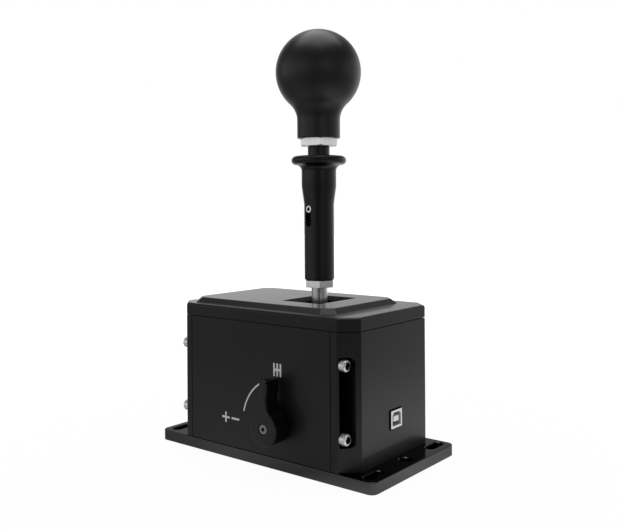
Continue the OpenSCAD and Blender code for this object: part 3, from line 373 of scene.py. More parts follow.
def gather(parts):
    """Several meshes in one."""
    whole = bmesh.new()
    for part in parts:
        mesh = bpy.data.meshes.new("part")
        part.to_mesh(mesh)
        part.free()
        whole.from_mesh(mesh)
        bpy.data.meshes.remove(mesh)
    return whole


def carve(blank, tool, operation="DIFFERENCE"):
    """The blank after a Boolean with the tool."""
    pair = []
    for name, bm in (("blank", blank), ("tool", tool)):
        mesh = bpy.data.meshes.new(name)
        bm.to_mesh(mesh)
        bm.free()
        pair.append(bpy.data.objects.new(name, mesh))
        bpy.context.scene.collection.objects.link(pair[-1])
    knife = pair[0].modifiers.new("carve", "BOOLEAN")
    knife.object = pair[1]
    knife.operation = operation
    knife.solver = "EXACT"
    bpy.context.view_layer.update()
    cut = bmesh.new()
    cut.from_object(pair[0], bpy.context.evaluated_depsgraph_get())
    for obj in pair:
        mesh = obj.data
        bpy.data.objects.remove(obj)
        bpy.data.meshes.remove(mesh)
    bmesh.ops.remove_doubles(cut, verts=cut.verts, dist=SAME_PLACE)
    bmesh.ops.dissolve_limit(cut, angle_limit=SAME_PLANE, verts=cut.verts, edges=cut.edges)
    return cut


def soften(bm, width, segments=2, wanted=None, sharper=28):
    """Breaks the sharp edges, or only the wanted ones, with a round bevel."""
    bm.normal_update()
    sharp = [e for e in bm.edges if len(e.link_faces) == 2
             and e.calc_face_angle(0) > math.radians(sharper) and (wanted is None or wanted(e))]
    bmesh.ops.bevel(bm, geom=sharp, offset=width, offset_type="OFFSET", affect="EDGES",
                    segments=segments, profile=0.5, material=-1, clamp_overlap=False)
    return bm


def finish_piece(name, bm, body, nodes, material, sharper=38, others=(), across=None):
    """Makes the mesh a piece in metres, with even normals, riding on its body, or left where it is when it
    lies across to another.
    """
    bmesh.ops.scale(bm, verts=bm.verts, vec=(MM, MM, MM))
    mesh = bpy.data.meshes.new(name)
    bm.to_mesh(mesh)
    bm.free()
    for finish in (material, *others):
        mesh.materials.append(finish)
    mesh.polygons.foreach_set("use_smooth", [True] * len(mesh.polygons))
    mesh.set_sharp_from_angle(angle=math.radians(sharper))
    piece = bpy.data.objects.new(name, mesh)
    bpy.context.scene.collection.objects.link(piece)
    even = piece.modifiers.new("even_normals", "WEIGHTED_NORMAL")
    even.keep_sharp = True
    if across is None:
        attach(piece, body)
    else:
        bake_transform(piece)
    if nodes:
        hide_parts(*nodes)
    print(name, "faces:", len(mesh.polygons), "size in mm:", [round(d / MM, 1) for d in piece.dimensions])
    return piece


print("helpers ready, plate box in mm:", [round(v, 1) for v in box_mm("base_plate")[1]])

# %% [markdown]
# The base plate is a milled slab with round corners, four slots and two round holes for bolting it down,
# and countersunk holes underneath. It could be one curve with holes, extruded. Cutting the holes out of a
# blank keeps each one a simple tool, and the chamfer round them can then be flat, as a countersink leaves it.

# %% Base plate
PLATE_CORNER_R = 4.5
SLOT_W, SLOT_LEN = 6.5, 16.5
HOLE_R = 4.1
SLOT_X, SLOT_Y = 79.0, 34.0
PLATE_EDGE = 0.5
HOLE_EDGE = 0.45
SINK_DEPTH = 0.3

plate_low, plate_high = box_mm("base_plate")
PLATE_T = plate_high.z
END_LOW, END_HIGH = box_mm("right_end_plate")
TIE_X, TIE_Y = (END_LOW.x + END_HIGH.x) / 2, 27.0
LEVER_X = sum(box_mm("lever_rod")[i].x for i in (0, 1)) / 2
BRACKET_X, BRACKET_Y = 27.43, 11.0
TIE_BOLT_D, BRACKET_SCREW_D = 4.0, 5.0


def countersink(x, y, screw_d):
    """The hole of a countersunk screw, from below."""
    wide, narrow = screw_d + 0.02, screw_d / 2 + 0.2
    cone_top = SINK_DEPTH + wide - narrow
    cone = bmesh.new()
    bmesh.ops.create_cone(cone, cap_ends=True, segments=40, radius1=wide, radius2=narrow,
                          depth=cone_top - SINK_DEPTH)
    moved(cone, Matrix.Translation((0, 0, (cone_top + SINK_DEPTH) / 2)))
    wide_face = min(cone.faces, key=lambda f: f.calc_center_median().z)
    pull(cone, [wide_face], -SINK_DEPTH - 1, leave=False)
    bmesh.ops.recalc_face_normals(cone, faces=cone.faces)
    return moved(cone, Matrix.Translation((x, y, 0)))


def is_level(e):
    """A test for level edges."""
    return abs(e.verts[0].co.z - e.verts[1].co.z) < 1e-4


def at_height(z):
    """A test for level edges at a height."""
    return lambda e: all(abs(v.co.z - z) < 1e-3 for v in e.verts)


tools = []
for sx in (-1, 1):
    tools.append(bar(HOLE_R, (sx * SLOT_X, 0, -1), (sx * SLOT_X, 0, PLATE_T + 1), 56))
    for sy in (-1, 1):
        slot_tool = rounded_block(SLOT_W, SLOT_LEN, SLOT_W / 2 - 0.005, -1, PLATE_T + 1)
        tools.append(moved(slot_tool, Matrix.Translation((sx * SLOT_X, sy * SLOT_Y, 0))))
        tools.append(countersink(sx * TIE_X, sy * TIE_Y, TIE_BOLT_D))
        tools.append(countersink(LEVER_X + sx * BRACKET_X, sy * BRACKET_Y, BRACKET_SCREW_D))
plate = rounded_block(plate_high.x - plate_low.x, plate_high.y - plate_low.y, PLATE_CORNER_R, 0, PLATE_T, 14)
plate = carve(soften(plate, PLATE_EDGE, 3, is_level), gather(tools))
soften(plate, HOLE_EDGE, 1, at_height(PLATE_T), sharper=60)
# The walls of the slots and holes take the painted shade of a recess as material 1.
for face in plate.faces:
    middle = face.calc_center_median()
    wall = abs(face.normal.z) < 0.5 and HOLE_EDGE < middle.z < PLATE_T - HOLE_EDGE
    inboard = abs(middle.x) < plate_high.x - 3 and abs(middle.y) < plate_high.y - 2
    face.material_index = int(wall and inboard)
finish_piece("milled_base_plate", plate, "housing", ["base_plate"], gloss_black,
             others=(painted_recess_shade,))

# %% [markdown]
# Each end plate is a thick block whose outer corners are chamfered. A pocket is milled into each corner,
# so that the screws that pull the panels tight sit below the surface. The pockets are cut with blocks
# that have two round corners, as an end mill leaves them. The right end also has the window of the socket.

# %% End plates
CORNER_CHAMFER = 10.0
POCKET_FLOOR_X = 62.7
POCKET_Y = 37.8
POCKET_H = 51.4
POCKET_R = 3.0
SCREW_Y = 41.5
SCREW_HOLE_R = 2.2
SCREW_DZ = 21.0
MID_Z = (END_LOW.z + END_HIGH.z) / 2
USB_LOW, USB_HIGH = box_mm("usb_shell")
USB_ROOM = 0.6
EDGE = 0.3


def block(low, high):
    """A block between two corners."""
    low, high = Vector(low), Vector(high)
    bm = bmesh.new()
    bmesh.ops.create_cube(bm, size=1.0)
    bmesh.ops.scale(bm, verts=bm.verts, vec=high - low)
    return moved(bm, Matrix.Translation((low + high) / 2))


def corner_pocket(sx, sy):
    """The cutter of one screw pocket."""
    deep, out = sorted((sx * POCKET_FLOOR_X, sx * (END_HIGH.x + 1)))
    near, far = sorted((sy * POCKET_Y, sy * (END_HIGH.y + POCKET_R)))
    bm = block((deep, near, MID_Z - POCKET_H / 2), (out, far, MID_Z + POCKET_H / 2))
    inner = [e for e in bm.edges if all(abs(v.co.y - sy * POCKET_Y) < 1e-4 for v in e.verts)
             and abs(e.verts[0].co.x - e.verts[1].co.x) > 1]
    bmesh.ops.bevel(bm, geom=inner, offset=POCKET_R, offset_type="OFFSET", affect="EDGES", segments=6,
                    profile=0.5, material=-1)
    return bm


def in_pocket(point):
    """True for a point on a pocket's floor or walls, short of its mouth."""
    x, y = abs(point.x), abs(point.y)
    mouth = min(END_HIGH.x - x, END_HIGH.y - y, END_HIGH.x + END_HIGH.y - CORNER_CHAMFER - x - y)
    return (x > POCKET_FLOOR_X - 0.1 and y > POCKET_Y - 0.1 and mouth > EDGE + 0.1
            and abs(point.z - MID_Z) < POCKET_H / 2 + 0.1)


for side_name, sx in (("left", -1), ("right", 1)):
    x_in, x_out, y_out = END_LOW.x, END_HIGH.x, END_HIGH.y
    outline = [(x_in, -y_out), (x_out - CORNER_CHAMFER, -y_out), (x_out, -y_out + CORNER_CHAMFER),
               (x_out, y_out - CORNER_CHAMFER), (x_out - CORNER_CHAMFER, y_out), (x_in, y_out)]
    blank = prism([(sx * x, y) for x, y in outline], END_LOW.z, END_HIGH.z)
    tools = [corner_pocket(sx, sy) for sy in (-1, 1)]
    blank = carve(blank, gather(tools))
    holes = [bar(SCREW_HOLE_R, (sx * (x_in - 1), sy * SCREW_Y, MID_Z + sz * SCREW_DZ),
                 (sx * (POCKET_FLOOR_X + 1), sy * SCREW_Y, MID_Z + sz * SCREW_DZ))
             for sy in (-1, 1) for sz in (-1, 1)]
    if sx > 0:
        holes.append(block((x_in - 1, USB_LOW.y - USB_ROOM, USB_LOW.z - USB_ROOM),
                           (x_out + 1, USB_HIGH.y + USB_ROOM, USB_HIGH.z + USB_ROOM)))
    blank = soften(carve(blank, gather(holes)), EDGE)
    # Pocket floors and walls take the painted shade of a recess as material 1.
    for face in blank.faces:
        face.material_index = int(in_pocket(face.calc_center_median()))
    finish_piece(f"milled_{side_name}_end_plate", blank, "housing", [f"{side_name}_end_plate"],
                 anodised, others=(painted_recess_shade,))

# %% [markdown]
# The front and rear panels are flat plates between the end plates. Their upright edges are chamfered, so
# a fine groove marks each joint. The front one has a bore for the selector's bush. A flat sheet with a
# Solidify modifier would do, but the bore is quicker to cut out of a block.

# %% Panels
PANEL_EDGE = 0.3
PANEL_GAP = 0.3
SELECTOR_LOW, SELECTOR_HIGH = box_mm("selector_shaft")
SELECTOR_X = (SELECTOR_LOW.x + SELECTOR_HIGH.x) / 2
SELECTOR_Z = (SELECTOR_LOW.z + SELECTOR_HIGH.z) / 2
BUSH_R = 6.02

for panel_name in ("front_panel", "rear_panel"):
    low, high = box_mm(panel_name)
    low.x, high.x = low.x + PANEL_GAP, high.x - PANEL_GAP
    blank = block(low, high)
    if panel_name == "front_panel":
        bore = bar(BUSH_R, (SELECTOR_X, low.y - 1, SELECTOR_Z), (SELECTOR_X, high.y + 1, SELECTOR_Z))
        blank = carve(blank, bore)
    soften(blank, PANEL_EDGE)
    finish_piece(f"milled_{panel_name}", blank, "housing", [panel_name], anodised)

# %% [markdown]
# The lid is milled from one block: a side band with chamfered corners, a flat shoulder that is wide at
# the right, and a raised top with sloping sides round the gate opening. A step under the band leaves the
# dark line between lid and walls. Three blocks joined by Booleans give the outer form, and three cuts
# make the hollow and the gate. Bridging one outline to the next would do it too, but the outlines aren't
# concentric, and a bridge may twist. The rim gets a wide round, and the slopes stay crisp: normals are
# smoothed only across the small angles of a round.

# %% Lid
LID_LOW, LID_HIGH = box_mm("lid")
GROOVE, GROOVE_DEPTH = 0.55, 1.8
SHOULDER_Z = 95.2
LID_WALL = 3.2
SHOULDER_W, SHOULDER_RIGHT_W = 5.6, 19.0
PLATEAU_CHAMFER = 7.5
PLATEAU_SLOPE = 3.8
GATE_X, GATE_Y = 30.5, 39.0
GATE_DRAFT = 0.8
RIM_ROUND, TOP_EDGE, SLOPE_EDGE = 1.8, 0.5, 0.25
SHORTEST_EDGE = 2.5


def chamfered(low, high, inset, chamfer):
    """The eight corners of a chamfered rectangle, drawn in by an inset."""
    x0, y0, x1, y1 = low[0] + inset, low[1] + inset, high[0] - inset, high[1] - inset
    c = chamfer
    return [(x0 + c, y0), (x1 - c, y0), (x1, y0 + c), (x1, y1 - c),
            (x1 - c, y1), (x0 + c, y1), (x0, y1 - c), (x0, y0 + c)]


def tapered(foot, top, low, high):
    """A block over an outline whose upper corners are drawn in to a second outline."""
    bm = prism(foot, low, high)
    for vert in bm.verts:
        if vert.co.z > (low + high) / 2:
            corner = min(range(len(foot)), key=lambda i: (vert.co.xy - Vector(foot[i])).length)
            vert.co.xy = top[corner]
    return bm


def gate_outline(grow):
    """The corners of the gate opening, grown on every side."""
    x0, x1 = LEVER_X - GATE_X / 2 - grow, LEVER_X + GATE_X / 2 + grow
    y1 = GATE_Y / 2 + grow
    return [(x0, -y1), (x1, -y1), (x1, y1), (x0, y1)]


foot_low = (LID_LOW.x + SHOULDER_W, LID_LOW.y + SHOULDER_W)
foot_high = (LID_HIGH.x - SHOULDER_RIGHT_W, LID_HIGH.y - SHOULDER_W)
band = chamfered(LID_LOW, LID_HIGH, 0, CORNER_CHAMFER)
step = chamfered(LID_LOW, LID_HIGH, GROOVE_DEPTH, CORNER_CHAMFER - GROOVE_DEPTH / 2)
foot = chamfered(foot_low, foot_high, 0, PLATEAU_CHAMFER)
top = chamfered(foot_low, foot_high, PLATEAU_SLOPE, PLATEAU_CHAMFER - PLATEAU_SLOPE / 2)
band_block = prism(band, LID_LOW.z + GROOVE, SHOULDER_Z)
lid = carve(band_block, prism(step, LID_LOW.z, LID_LOW.z + LID_WALL), "UNION")
raised = tapered(foot, top, SHOULDER_Z, LID_HIGH.z)
below = [f for f in raised.faces if f.normal.z < -0.9]
pull(raised, below, -1, leave=False)
lid = carve(lid, raised, "UNION")
hollow = chamfered(LID_LOW, LID_HIGH, LID_WALL + GROOVE, CORNER_CHAMFER - LID_WALL / 2)
under_top = chamfered(foot_low, foot_high, PLATEAU_SLOPE + LID_WALL + GROOVE, PLATEAU_CHAMFER)
lid = carve(lid, prism(hollow, LID_LOW.z - 1, SHOULDER_Z - LID_WALL))
lid = carve(lid, prism(under_top, LID_LOW.z - 1, LID_HIGH.z - LID_WALL))
gate = tapered(gate_outline(-GATE_DRAFT), gate_outline(0), LID_HIGH.z - LID_WALL, LID_HIGH.z)
above = [f for f in gate.faces if f.normal.z > 0.9]
pull(gate, above, 1, leave=False)
lid = carve(lid, gate)


def on_rim(e):
    """A test for the edge between side band and shoulder."""
    return at_height(SHOULDER_Z)(e) and e.calc_face_angle(0) > math.radians(80)


soften(lid, RIM_ROUND, 8, on_rim)
soften(lid, TOP_EDGE, 3, at_height(LID_HIGH.z))
soften(lid, SLOPE_EDGE, 2, lambda e: all(v.co.z > LID_LOW.z + GROOVE - 0.01 for v in e.verts)
       and not at_height(SHOULDER_Z)(e) and e.calc_length() > SHORTEST_EDGE)
finish_piece("milled_lid", lid, "housing", ["lid"], anodised, sharper=14)

# %% [markdown]
# Stainless steel is the bright metal on the screws, the nuts and the rod. Turning leaves fine rings
# round the axis, so the pattern is squeezed along one direction: noise that only changes along the axis
# reads as rings. The real tool marks are about 0.1 mm apart, and they are drawn at 0.3 mm to show.
# The eye sees a clear mirror on the rod, a wider shine on the screws and the lower nut, a dull grey on the
# phosphated screw, and on the zinc-plated nut a milky white that is only partly a mirror.

# %% Turned stainless steel
TURNING_PITCH = 0.0003


def stainless(name, ringed, rough, dark="#c9cacc", light="#dcdcde", metallic=1.0):
    """Bright turned steel whose rings follow one another along the ringed axis."""
    material, tree, place = begin_material(name)
    along = add_node(tree, "ShaderNodeMapping", {
        "Vector": place, "Scale": [r / TURNING_PITCH for r in ringed]})
    rings = add_node(tree, "ShaderNodeTexNoise", {"Vector": along.outputs["Vector"], "Scale": 1.0})
    haze = add_node(tree, "ShaderNodeTexNoise", {"Vector": place, "Scale": 1 / 0.004, "Detail": 3.0})
    tone = add_node(tree, "ShaderNodeMix", {
        "Factor": haze.outputs["Fac"], 6: linear(dark), 7: linear(light)}, data_type="RGBA")
    gloss = add_node(tree, "ShaderNodeMapRange", {
        "Value": rings.outputs["Fac"], "To Min": rough - 0.06, "To Max": rough + 0.08})
    bump = add_node(tree, "ShaderNodeBump", {
        "Strength": 0.1, "Distance": 0.00002, "Height": rings.outputs["Fac"]})
    metal = add_node(tree, "ShaderNodeBsdfPrincipled", {
        "Base Color": tone.outputs[2], "Metallic": metallic, "Roughness": gloss.outputs["Result"],
        "Normal": bump.outputs["Normal"]})
    add_node(tree, "ShaderNodeOutputMaterial", {"Surface": metal.outputs["BSDF"]})
    return material


steel_on_z = stainless("turned_stainless_steel", (0, 0, 1), 0.24)
steel_on_x = stainless("bright_stainless_screw", (1, 0, 0), 0.4, "#d8d8da", "#e6e6e8")
steel_on_y = stainless("bright_stainless_socket_screw", (0, 1, 0), 0.24)
dull_steel = stainless("dull_phosphated_socket_screw", (0, 1, 0), 0.4, "#76777a", "#88898b")
bright_steel = stainless("bright_rolled_stainless_nut", (0, 0, 1), 0.3, "#f0f0f2", "#f8f8f9")
milky_zinc = stainless("passivated_zinc_plate", (0, 0, 1), 0.35, "#f2f2f2", "#fafafa", 0.3)
print("made", *(m.name for m in (steel_on_z, steel_on_x, steel_on_y, dull_steel, bright_steel, milky_zinc)))

# %% [markdown]
# A cap screw is a round head with a hexagon socket on a plain shank. One screw is made standing up and
# then moved to its place, eight times. A modelled thread would be wasted, because the thread is inside.
# The socket's faces get a second finish, a dull dark grey that paints the shade deep in the socket.

# %% Corner screws
HEAD_R, HEAD_H = 3.5, 4.0
SHANK_R, SHANK_LEN = 2.0, 18.0
SOCKET_R = 2.4
SOCKET_SHARE = 0.75
HEAD_ROUND = 0.7


def cap_screw(head_r, head_h, shank_r, shank_len, socket_r, edge):
    """A cap screw along Z: the head above zero and the shank below."""
    bm = bar(head_r, (0, 0, 0), (0, 0, head_h), 48)
    soften(bm, edge, 4, at_height(head_h))
    socket = bmesh.new()
    bmesh.ops.create_cone(socket, cap_ends=True, segments=6, radius1=socket_r, radius2=socket_r,
                          depth=2 * SOCKET_SHARE * head_h)
    moved(socket, Matrix.Translation((0, 0, head_h)))
    bm = carve(bm, socket)
    # Faces inside the socket take material 1, its painted shade.
    for face in bm.faces:
        middle = face.calc_center_median()
        face.material_index = int(0.01 < middle.z < head_h - 0.01 and middle.xy.length < socket_r)
    undersides = (f for f in bm.faces if f.normal.z < -0.9)
    under = max(undersides, key=lambda f: f.calc_area() - f.calc_center_median().z)
    bmesh.ops.inset_region(bm, faces=[under], thickness=head_r - shank_r)
    pull(bm, [under], -shank_len, leave=False)
    bmesh.ops.recalc_face_normals(bm, faces=bm.faces)
    return bm


def mottled(name, tones, spot_mm, shader_values):
    """Two tones of a colour in soft spots, with an even shine."""
    material, tree, place = begin_material(name)
    spots = add_node(tree, "ShaderNodeTexNoise", {"Vector": place, "Scale": 1000 / spot_mm})
    tone = add_node(tree, "ShaderNodeMix", {
        "Factor": spots.outputs["Fac"], 6: linear(tones[0]), 7: linear(tones[1])}, data_type="RGBA")
    body = add_node(tree, "ShaderNodeBsdfPrincipled", {"Base Color": tone.outputs[2], **shader_values})
    add_node(tree, "ShaderNodeOutputMaterial", {"Surface": body.outputs["BSDF"]})
    return material


# Painted shade for the deep inside of a socket: a dull dark grey, with hardly any shine. The variable scale
# holds it.
scale = mottled("painted_socket_shade", ("#5a5a5b", "#6c6c6d"), 0.3, {"Metallic": 1.0, "Roughness": 0.5})
screws = []
for sx in (-1, 1):
    out = Matrix.Rotation(sx * math.pi / 2, 4, "Y")
    for sy in (-1, 1):
        for sz in (-1, 1):
            at = Matrix.Translation((sx * POCKET_FLOOR_X, sy * SCREW_Y, MID_Z + sz * SCREW_DZ))
            screw = cap_screw(HEAD_R, HEAD_H, SHANK_R, SHANK_LEN, SOCKET_R, HEAD_ROUND)
            screws.append(moved(screw, at @ out))
# The sockets carry the painted socket shade as their second finish.
finish_piece("turned_corner_screws", gather(screws), "housing", ["corner_screws"], steel_on_x,
             others=(scale,))

# %% [markdown]
# The socket in the right end has a shell of nickel-plated sheet, which is a grey, slightly wavy mirror, and a
# pale moulded nylon tongue. Two more finishes are painted shade: the mouth's pale nylon lining is drawn grey
# for the shade inside it, and the shell's sides behind its face are drawn black for the dark gap round it.
# Nylon is soft to the eye, with a broad dim shine and faint clouds of about 2 mm.

# %% Socket finishes
def plated_sheet():
    """Drawn sheet under bright nickel: its faint waves are about 1.2 mm wide."""
    material, tree, place = begin_material("nickel_plated_steel_sheet")
    drawn = add_node(tree, "ShaderNodeTexNoise", {"Vector": place, "Scale": 1 / 0.0012})
    gloss = add_node(tree, "ShaderNodeMapRange", {
        "Value": drawn.outputs["Fac"], "To Min": 0.2, "To Max": 0.34})
    bump = add_node(tree, "ShaderNodeBump", {
        "Strength": 0.1, "Distance": 0.00003, "Height": drawn.outputs["Fac"]})
    metal = add_node(tree, "ShaderNodeBsdfPrincipled", {
        "Base Color": linear("#c6c6c4"), "Metallic": 1.0, "Roughness": gloss.outputs["Result"],
        "Normal": bump.outputs["Normal"]})
    add_node(tree, "ShaderNodeOutputMaterial", {"Surface": metal.outputs["BSDF"]})
    return material


nickel = plated_sheet()
NYLON_SHINE = {"Roughness": 0.45, "IOR": 1.53}
nylon = mottled("moulded_pale_nylon", ("#e2e2de", "#ececea"), 2, NYLON_SHINE)
# The mouth's lining is pale nylon, drawn grey as painted shade.
nylon_lining_painted_shade = mottled("pale_nylon_lining_painted_grey", ("#9a9a98", "#a6a6a4"), 2, NYLON_SHINE)
# The shell's sides behind its face are drawn black: painted shade of the gap round the socket.
painted_gap_shade = mottled("painted_black_gap_shade", ("#0b0b0b", "#101010"), 2, NYLON_SHINE)
print("made", nickel.name, nylon.name, nylon_lining_painted_shade.name, painted_gap_shade.name)

# %% [markdown]
# The socket is a folded shell with a mouth whose upper corners are clipped, and a tongue in the middle that
# carries the contacts. It stands a little proud of the end plate, and its sides are painted black as the
# shade of the gap round it. A short row of cuts makes it: the shell from a block, the mouth from an outline.
# Folding a sheet would be truer, but nothing of the folds shows.

# %% Socket
MOUTH_WALL = 1.4
MOUTH_CLIP = 1.6
MOUTH_DEPTH = 9.0
USB_PROUD = 0.9
TONGUE_PROUD = 1.5
SHELL_ROUND, MOUTH_EDGE, TONGUE_EDGE = 0.5, 0.15, 0.25

usb_front = USB_HIGH.x + USB_PROUD
usb_half_y = (USB_HIGH.y - USB_LOW.y) / 2
usb_z = (USB_LOW.z + USB_HIGH.z) / 2
half_w, half_h = usb_half_y - MOUTH_WALL, (USB_HIGH.z - USB_LOW.z) / 2 - MOUTH_WALL
mouth = prism([(-half_w, -half_h), (half_w, -half_h), (half_w, half_h - MOUTH_CLIP),
               (half_w - MOUTH_CLIP, half_h), (-half_w + MOUTH_CLIP, half_h), (-half_w, half_h - MOUTH_CLIP)],
              0, MOUTH_DEPTH + 1)
into_end = Matrix.Translation((usb_front - MOUTH_DEPTH, 0, usb_z)) @ Matrix(
    ((0, 0, 1, 0), (1, 0, 0, 0), (0, 1, 0, 0), (0, 0, 0, 1)))
shell = block(USB_LOW, (usb_front, USB_HIGH.y, USB_HIGH.z))
soften(shell, SHELL_ROUND, 3, lambda e: abs(e.verts[0].co.x - e.verts[1].co.x) > 1)
shell = carve(shell, moved(mouth, into_end))
# Faces in the mouth take material 1, the lining in painted grey shade.
for face in shell.faces:
    middle = face.calc_center_median()
    inside = abs(middle.y) < half_w + 0.05 and abs(middle.z - usb_z) < half_h + 0.05
    # Other faces behind the front take material 2, the painted black shade of the gap.
    if middle.x < usb_front - 0.1:
        face.material_index = 1 if inside and middle.x > usb_front - MOUTH_DEPTH - 0.05 else 2
soften(shell, MOUTH_EDGE, 2, lambda e: all(v.co.x > usb_front - 0.01 for v in e.verts))
finish_piece("folded_usb_shell", shell, "housing", ["usb_shell"], nickel,
             others=(nylon_lining_painted_shade, painted_gap_shade))
tongue_low, tongue_high = box_mm("usb_tongue")
tongue_high.x = min(tongue_high.x + TONGUE_PROUD, usb_front - 0.4)
tongue = block(tongue_low, tongue_high)
soften(tongue, TONGUE_EDGE, 2)
finish_piece("moulded_usb_tongue", tongue, "housing", ["usb_tongue"], nylon)

# %% [markdown]
# The selector, the sleeve and the adapter are turned or milled aluminium with a satin black finish,
# smoother than the blasted plates. To the eye it is a dark metal with a soft wide highlight, so it is the
# same shader with a finer grain. The real grain of 0.1 mm is drawn at 0.4 mm.

# %% Satin black aluminium
satin = fine_skin("satin_black_anodised_aluminium", ("#323232", "#383839"), 20, 0.4, (0.34, 0.42), {
    "Metallic": 1.0}, (0.08, 0.00003))
print("made", satin.name)

# %% [markdown]
# The mode selector is a pointer: a round boss that runs through two hollow flanks into a narrow arm with
# a round tip. Its outline is drawn as a draughtsman would, arc by arc. Spinning a single vertex round a
# centre draws an arc, and the arcs meet smoothly because each circle touches the next.

# %% Selector lever
BOSS_R = 10.2
WAIST_H, WAIST_HALF = 17.5, 2.2
TIP_R, TIP_H = 3.0, 29.2
SELECTOR_EDGE, SELECTOR_BACK_EDGE = 0.9, 0.3
LEVER_LOW, LEVER_HIGH = box_mm("selector_lever")
SELECTOR_HEAD_R, SELECTOR_HEAD_SINK = 3.0, 0.3
SELECTOR_SHANK_R, SELECTOR_SOCKET_R, SELECTOR_HEAD_ROUND = 1.5, 1.3, 0.35


def arc(bm, start, centre, degrees, steps, axis=(0, 0, 1)):
    """Draws an arc from a vertex round a centre and gives the vertex at its end."""
    spun = bmesh.ops.spin(bm, geom=[start], cent=centre, axis=axis, angle=math.radians(degrees), steps=steps)
    return spun["geom_last"][0]


def run(bm, start, end):
    """Draws a straight edge from a vertex to a point and gives the vertex there."""
    vert = bm.verts.new(end)
    bm.edges.new((start, vert))
    return vert


flank_r = (WAIST_HALF ** 2 + WAIST_H ** 2 - BOSS_R ** 2) / (2 * (BOSS_R - WAIST_HALF))
flank_x = WAIST_HALF + flank_r
flank_lean = math.degrees(math.atan2(WAIST_H, flank_x))
touch = Vector((flank_x, WAIST_H, 0)) * BOSS_R / (BOSS_R + flank_r)
pointer = bmesh.new()
first = pointer.verts.new(touch)
pen = arc(pointer, first, (flank_x, WAIST_H, 0), -flank_lean, 14)
pen = run(pointer, pen, (TIP_R, TIP_H - TIP_R, 0))
pen = arc(pointer, pen, (0, TIP_H - TIP_R, 0), 180, 16)
pen = run(pointer, pen, (-WAIST_HALF, WAIST_H, 0))
pen = arc(pointer, pen, (-flank_x, WAIST_H, 0), -flank_lean, 14)
arc(pointer, pen, (0, 0, 0), 180 + 2 * flank_lean, 48)
bmesh.ops.remove_doubles(pointer, verts=pointer.verts, dist=0.01)
bmesh.ops.edgeloop_fill(pointer, edges=pointer.edges)
depth = LEVER_HIGH.y - LEVER_LOW.y
pull(pointer, pointer.faces[:], depth)
bmesh.ops.recalc_face_normals(pointer, faces=pointer.faces)
pointer = carve(pointer, bar(SELECTOR_HEAD_R + 0.2, (0, 0, depth - HEAD_H), (0, 0, depth + 1), 48))
soften(pointer, SELECTOR_EDGE, 3, at_height(depth))
soften(pointer, SELECTOR_BACK_EDGE, 2, at_height(0))
on_panel = Matrix.Translation((SELECTOR_X, LEVER_HIGH.y, SELECTOR_Z)) @ Matrix.Rotation(math.pi / 2, 4, "X")
finish_piece("milled_selector_lever", moved(pointer, on_panel), "selector", ["selector_lever"], satin)
screw = cap_screw(SELECTOR_HEAD_R, HEAD_H - SELECTOR_HEAD_SINK, SELECTOR_SHANK_R, depth - HEAD_H,
                  SELECTOR_SOCKET_R, SELECTOR_HEAD_ROUND)
head_seat = Matrix.Translation((SELECTOR_X, LEVER_LOW.y + HEAD_H, SELECTOR_Z))
in_face = head_seat @ Matrix.Rotation(math.pi / 2, 4, "X")
finish_piece("turned_selector_screw", moved(screw, in_face), "selector", ["selector_screw"], dull_steel,
             others=(scale,))

# %% [markdown]
# The marks beside the selector are screen-printed in pale grey: an arc along the pointer's sweep, a small
# gate pictogram where it points up, and a plus and a minus where it points left. Printed ink has a
# thickness of some hundredths of a millimetre, so each mark is a thin plate on the panel.

# %% Printed marks
INK_T = 0.04
ARC_X, ARC_Z = 18.3, 24.9
ARC_R, ARC_W = 29.4, 1.0
ARC_FROM, ARC_TO = 167.5, 100.0
STROKE = 1.25
GATE_MARK = (14.2, 56.4, 20.5, 64.2)
SHIFT_MARK = (-29.4, 20.6, -14.5, 29.5)


def printed_arc():
    """A band along part of a circle."""
    bm = bmesh.new()
    ends = [bm.verts.new((r, 0, 0)) for r in (ARC_R - ARC_W / 2, ARC_R + ARC_W / 2)]
    bm.edges.new(ends)
    moved(bm, Matrix.Rotation(math.radians(ARC_TO), 4, "Z"))
    bmesh.ops.spin(bm, geom=bm.verts[:] + bm.edges[:], cent=(0, 0, 0), axis=(0, 0, 1),
                   angle=math.radians(ARC_FROM - ARC_TO), steps=40)
    pull(bm, bm.faces[:], INK_T)
    bmesh.ops.recalc_face_normals(bm, faces=bm.faces)
    return moved(bm, Matrix.Translation((ARC_X, ARC_Z, 0)))


def stroke(x0, z0, x1, z1):
    """One printed bar between two corners, with slightly round corners."""
    bm = rounded_block(x1 - x0, z1 - z0, 0.15, 0, INK_T, 3)
    return moved(bm, Matrix.Translation(((x0 + x1) / 2, (z0 + z1) / 2, 0)))


def gate_pictogram(x0, z0, x1, z1):
    """Three gates joined by a neutral channel."""
    mid_x, mid_z = (x0 + x1 - STROKE) / 2, (z0 + z1) / 2
    uprights = [stroke(x, z0, x + STROKE, z1) for x in (x0, mid_x, x1 - STROKE)]
    channels = [stroke(a + STROKE, mid_z - STROKE / 2, b, mid_z + STROKE / 2)
                for a, b in ((x0, mid_x), (mid_x, x1 - STROKE))]
    return uprights + channels


def plus_and_minus(x0, z0, x1, z1):
    """A plus at the left and a minus at the right."""
    side, mid_z = (x1 - x0) * 0.44, (z0 + z1) / 2
    mid_x = x0 + side / 2
    level = [stroke(a, mid_z - STROKE / 2, a + side, mid_z + STROKE / 2) for a in (x0, x1 - side)]
    arms = [stroke(mid_x - STROKE / 2, a, mid_x + STROKE / 2, a + (side - STROKE) / 2)
            for a in (mid_z + STROKE / 2, mid_z - side / 2)]
    return level + arms


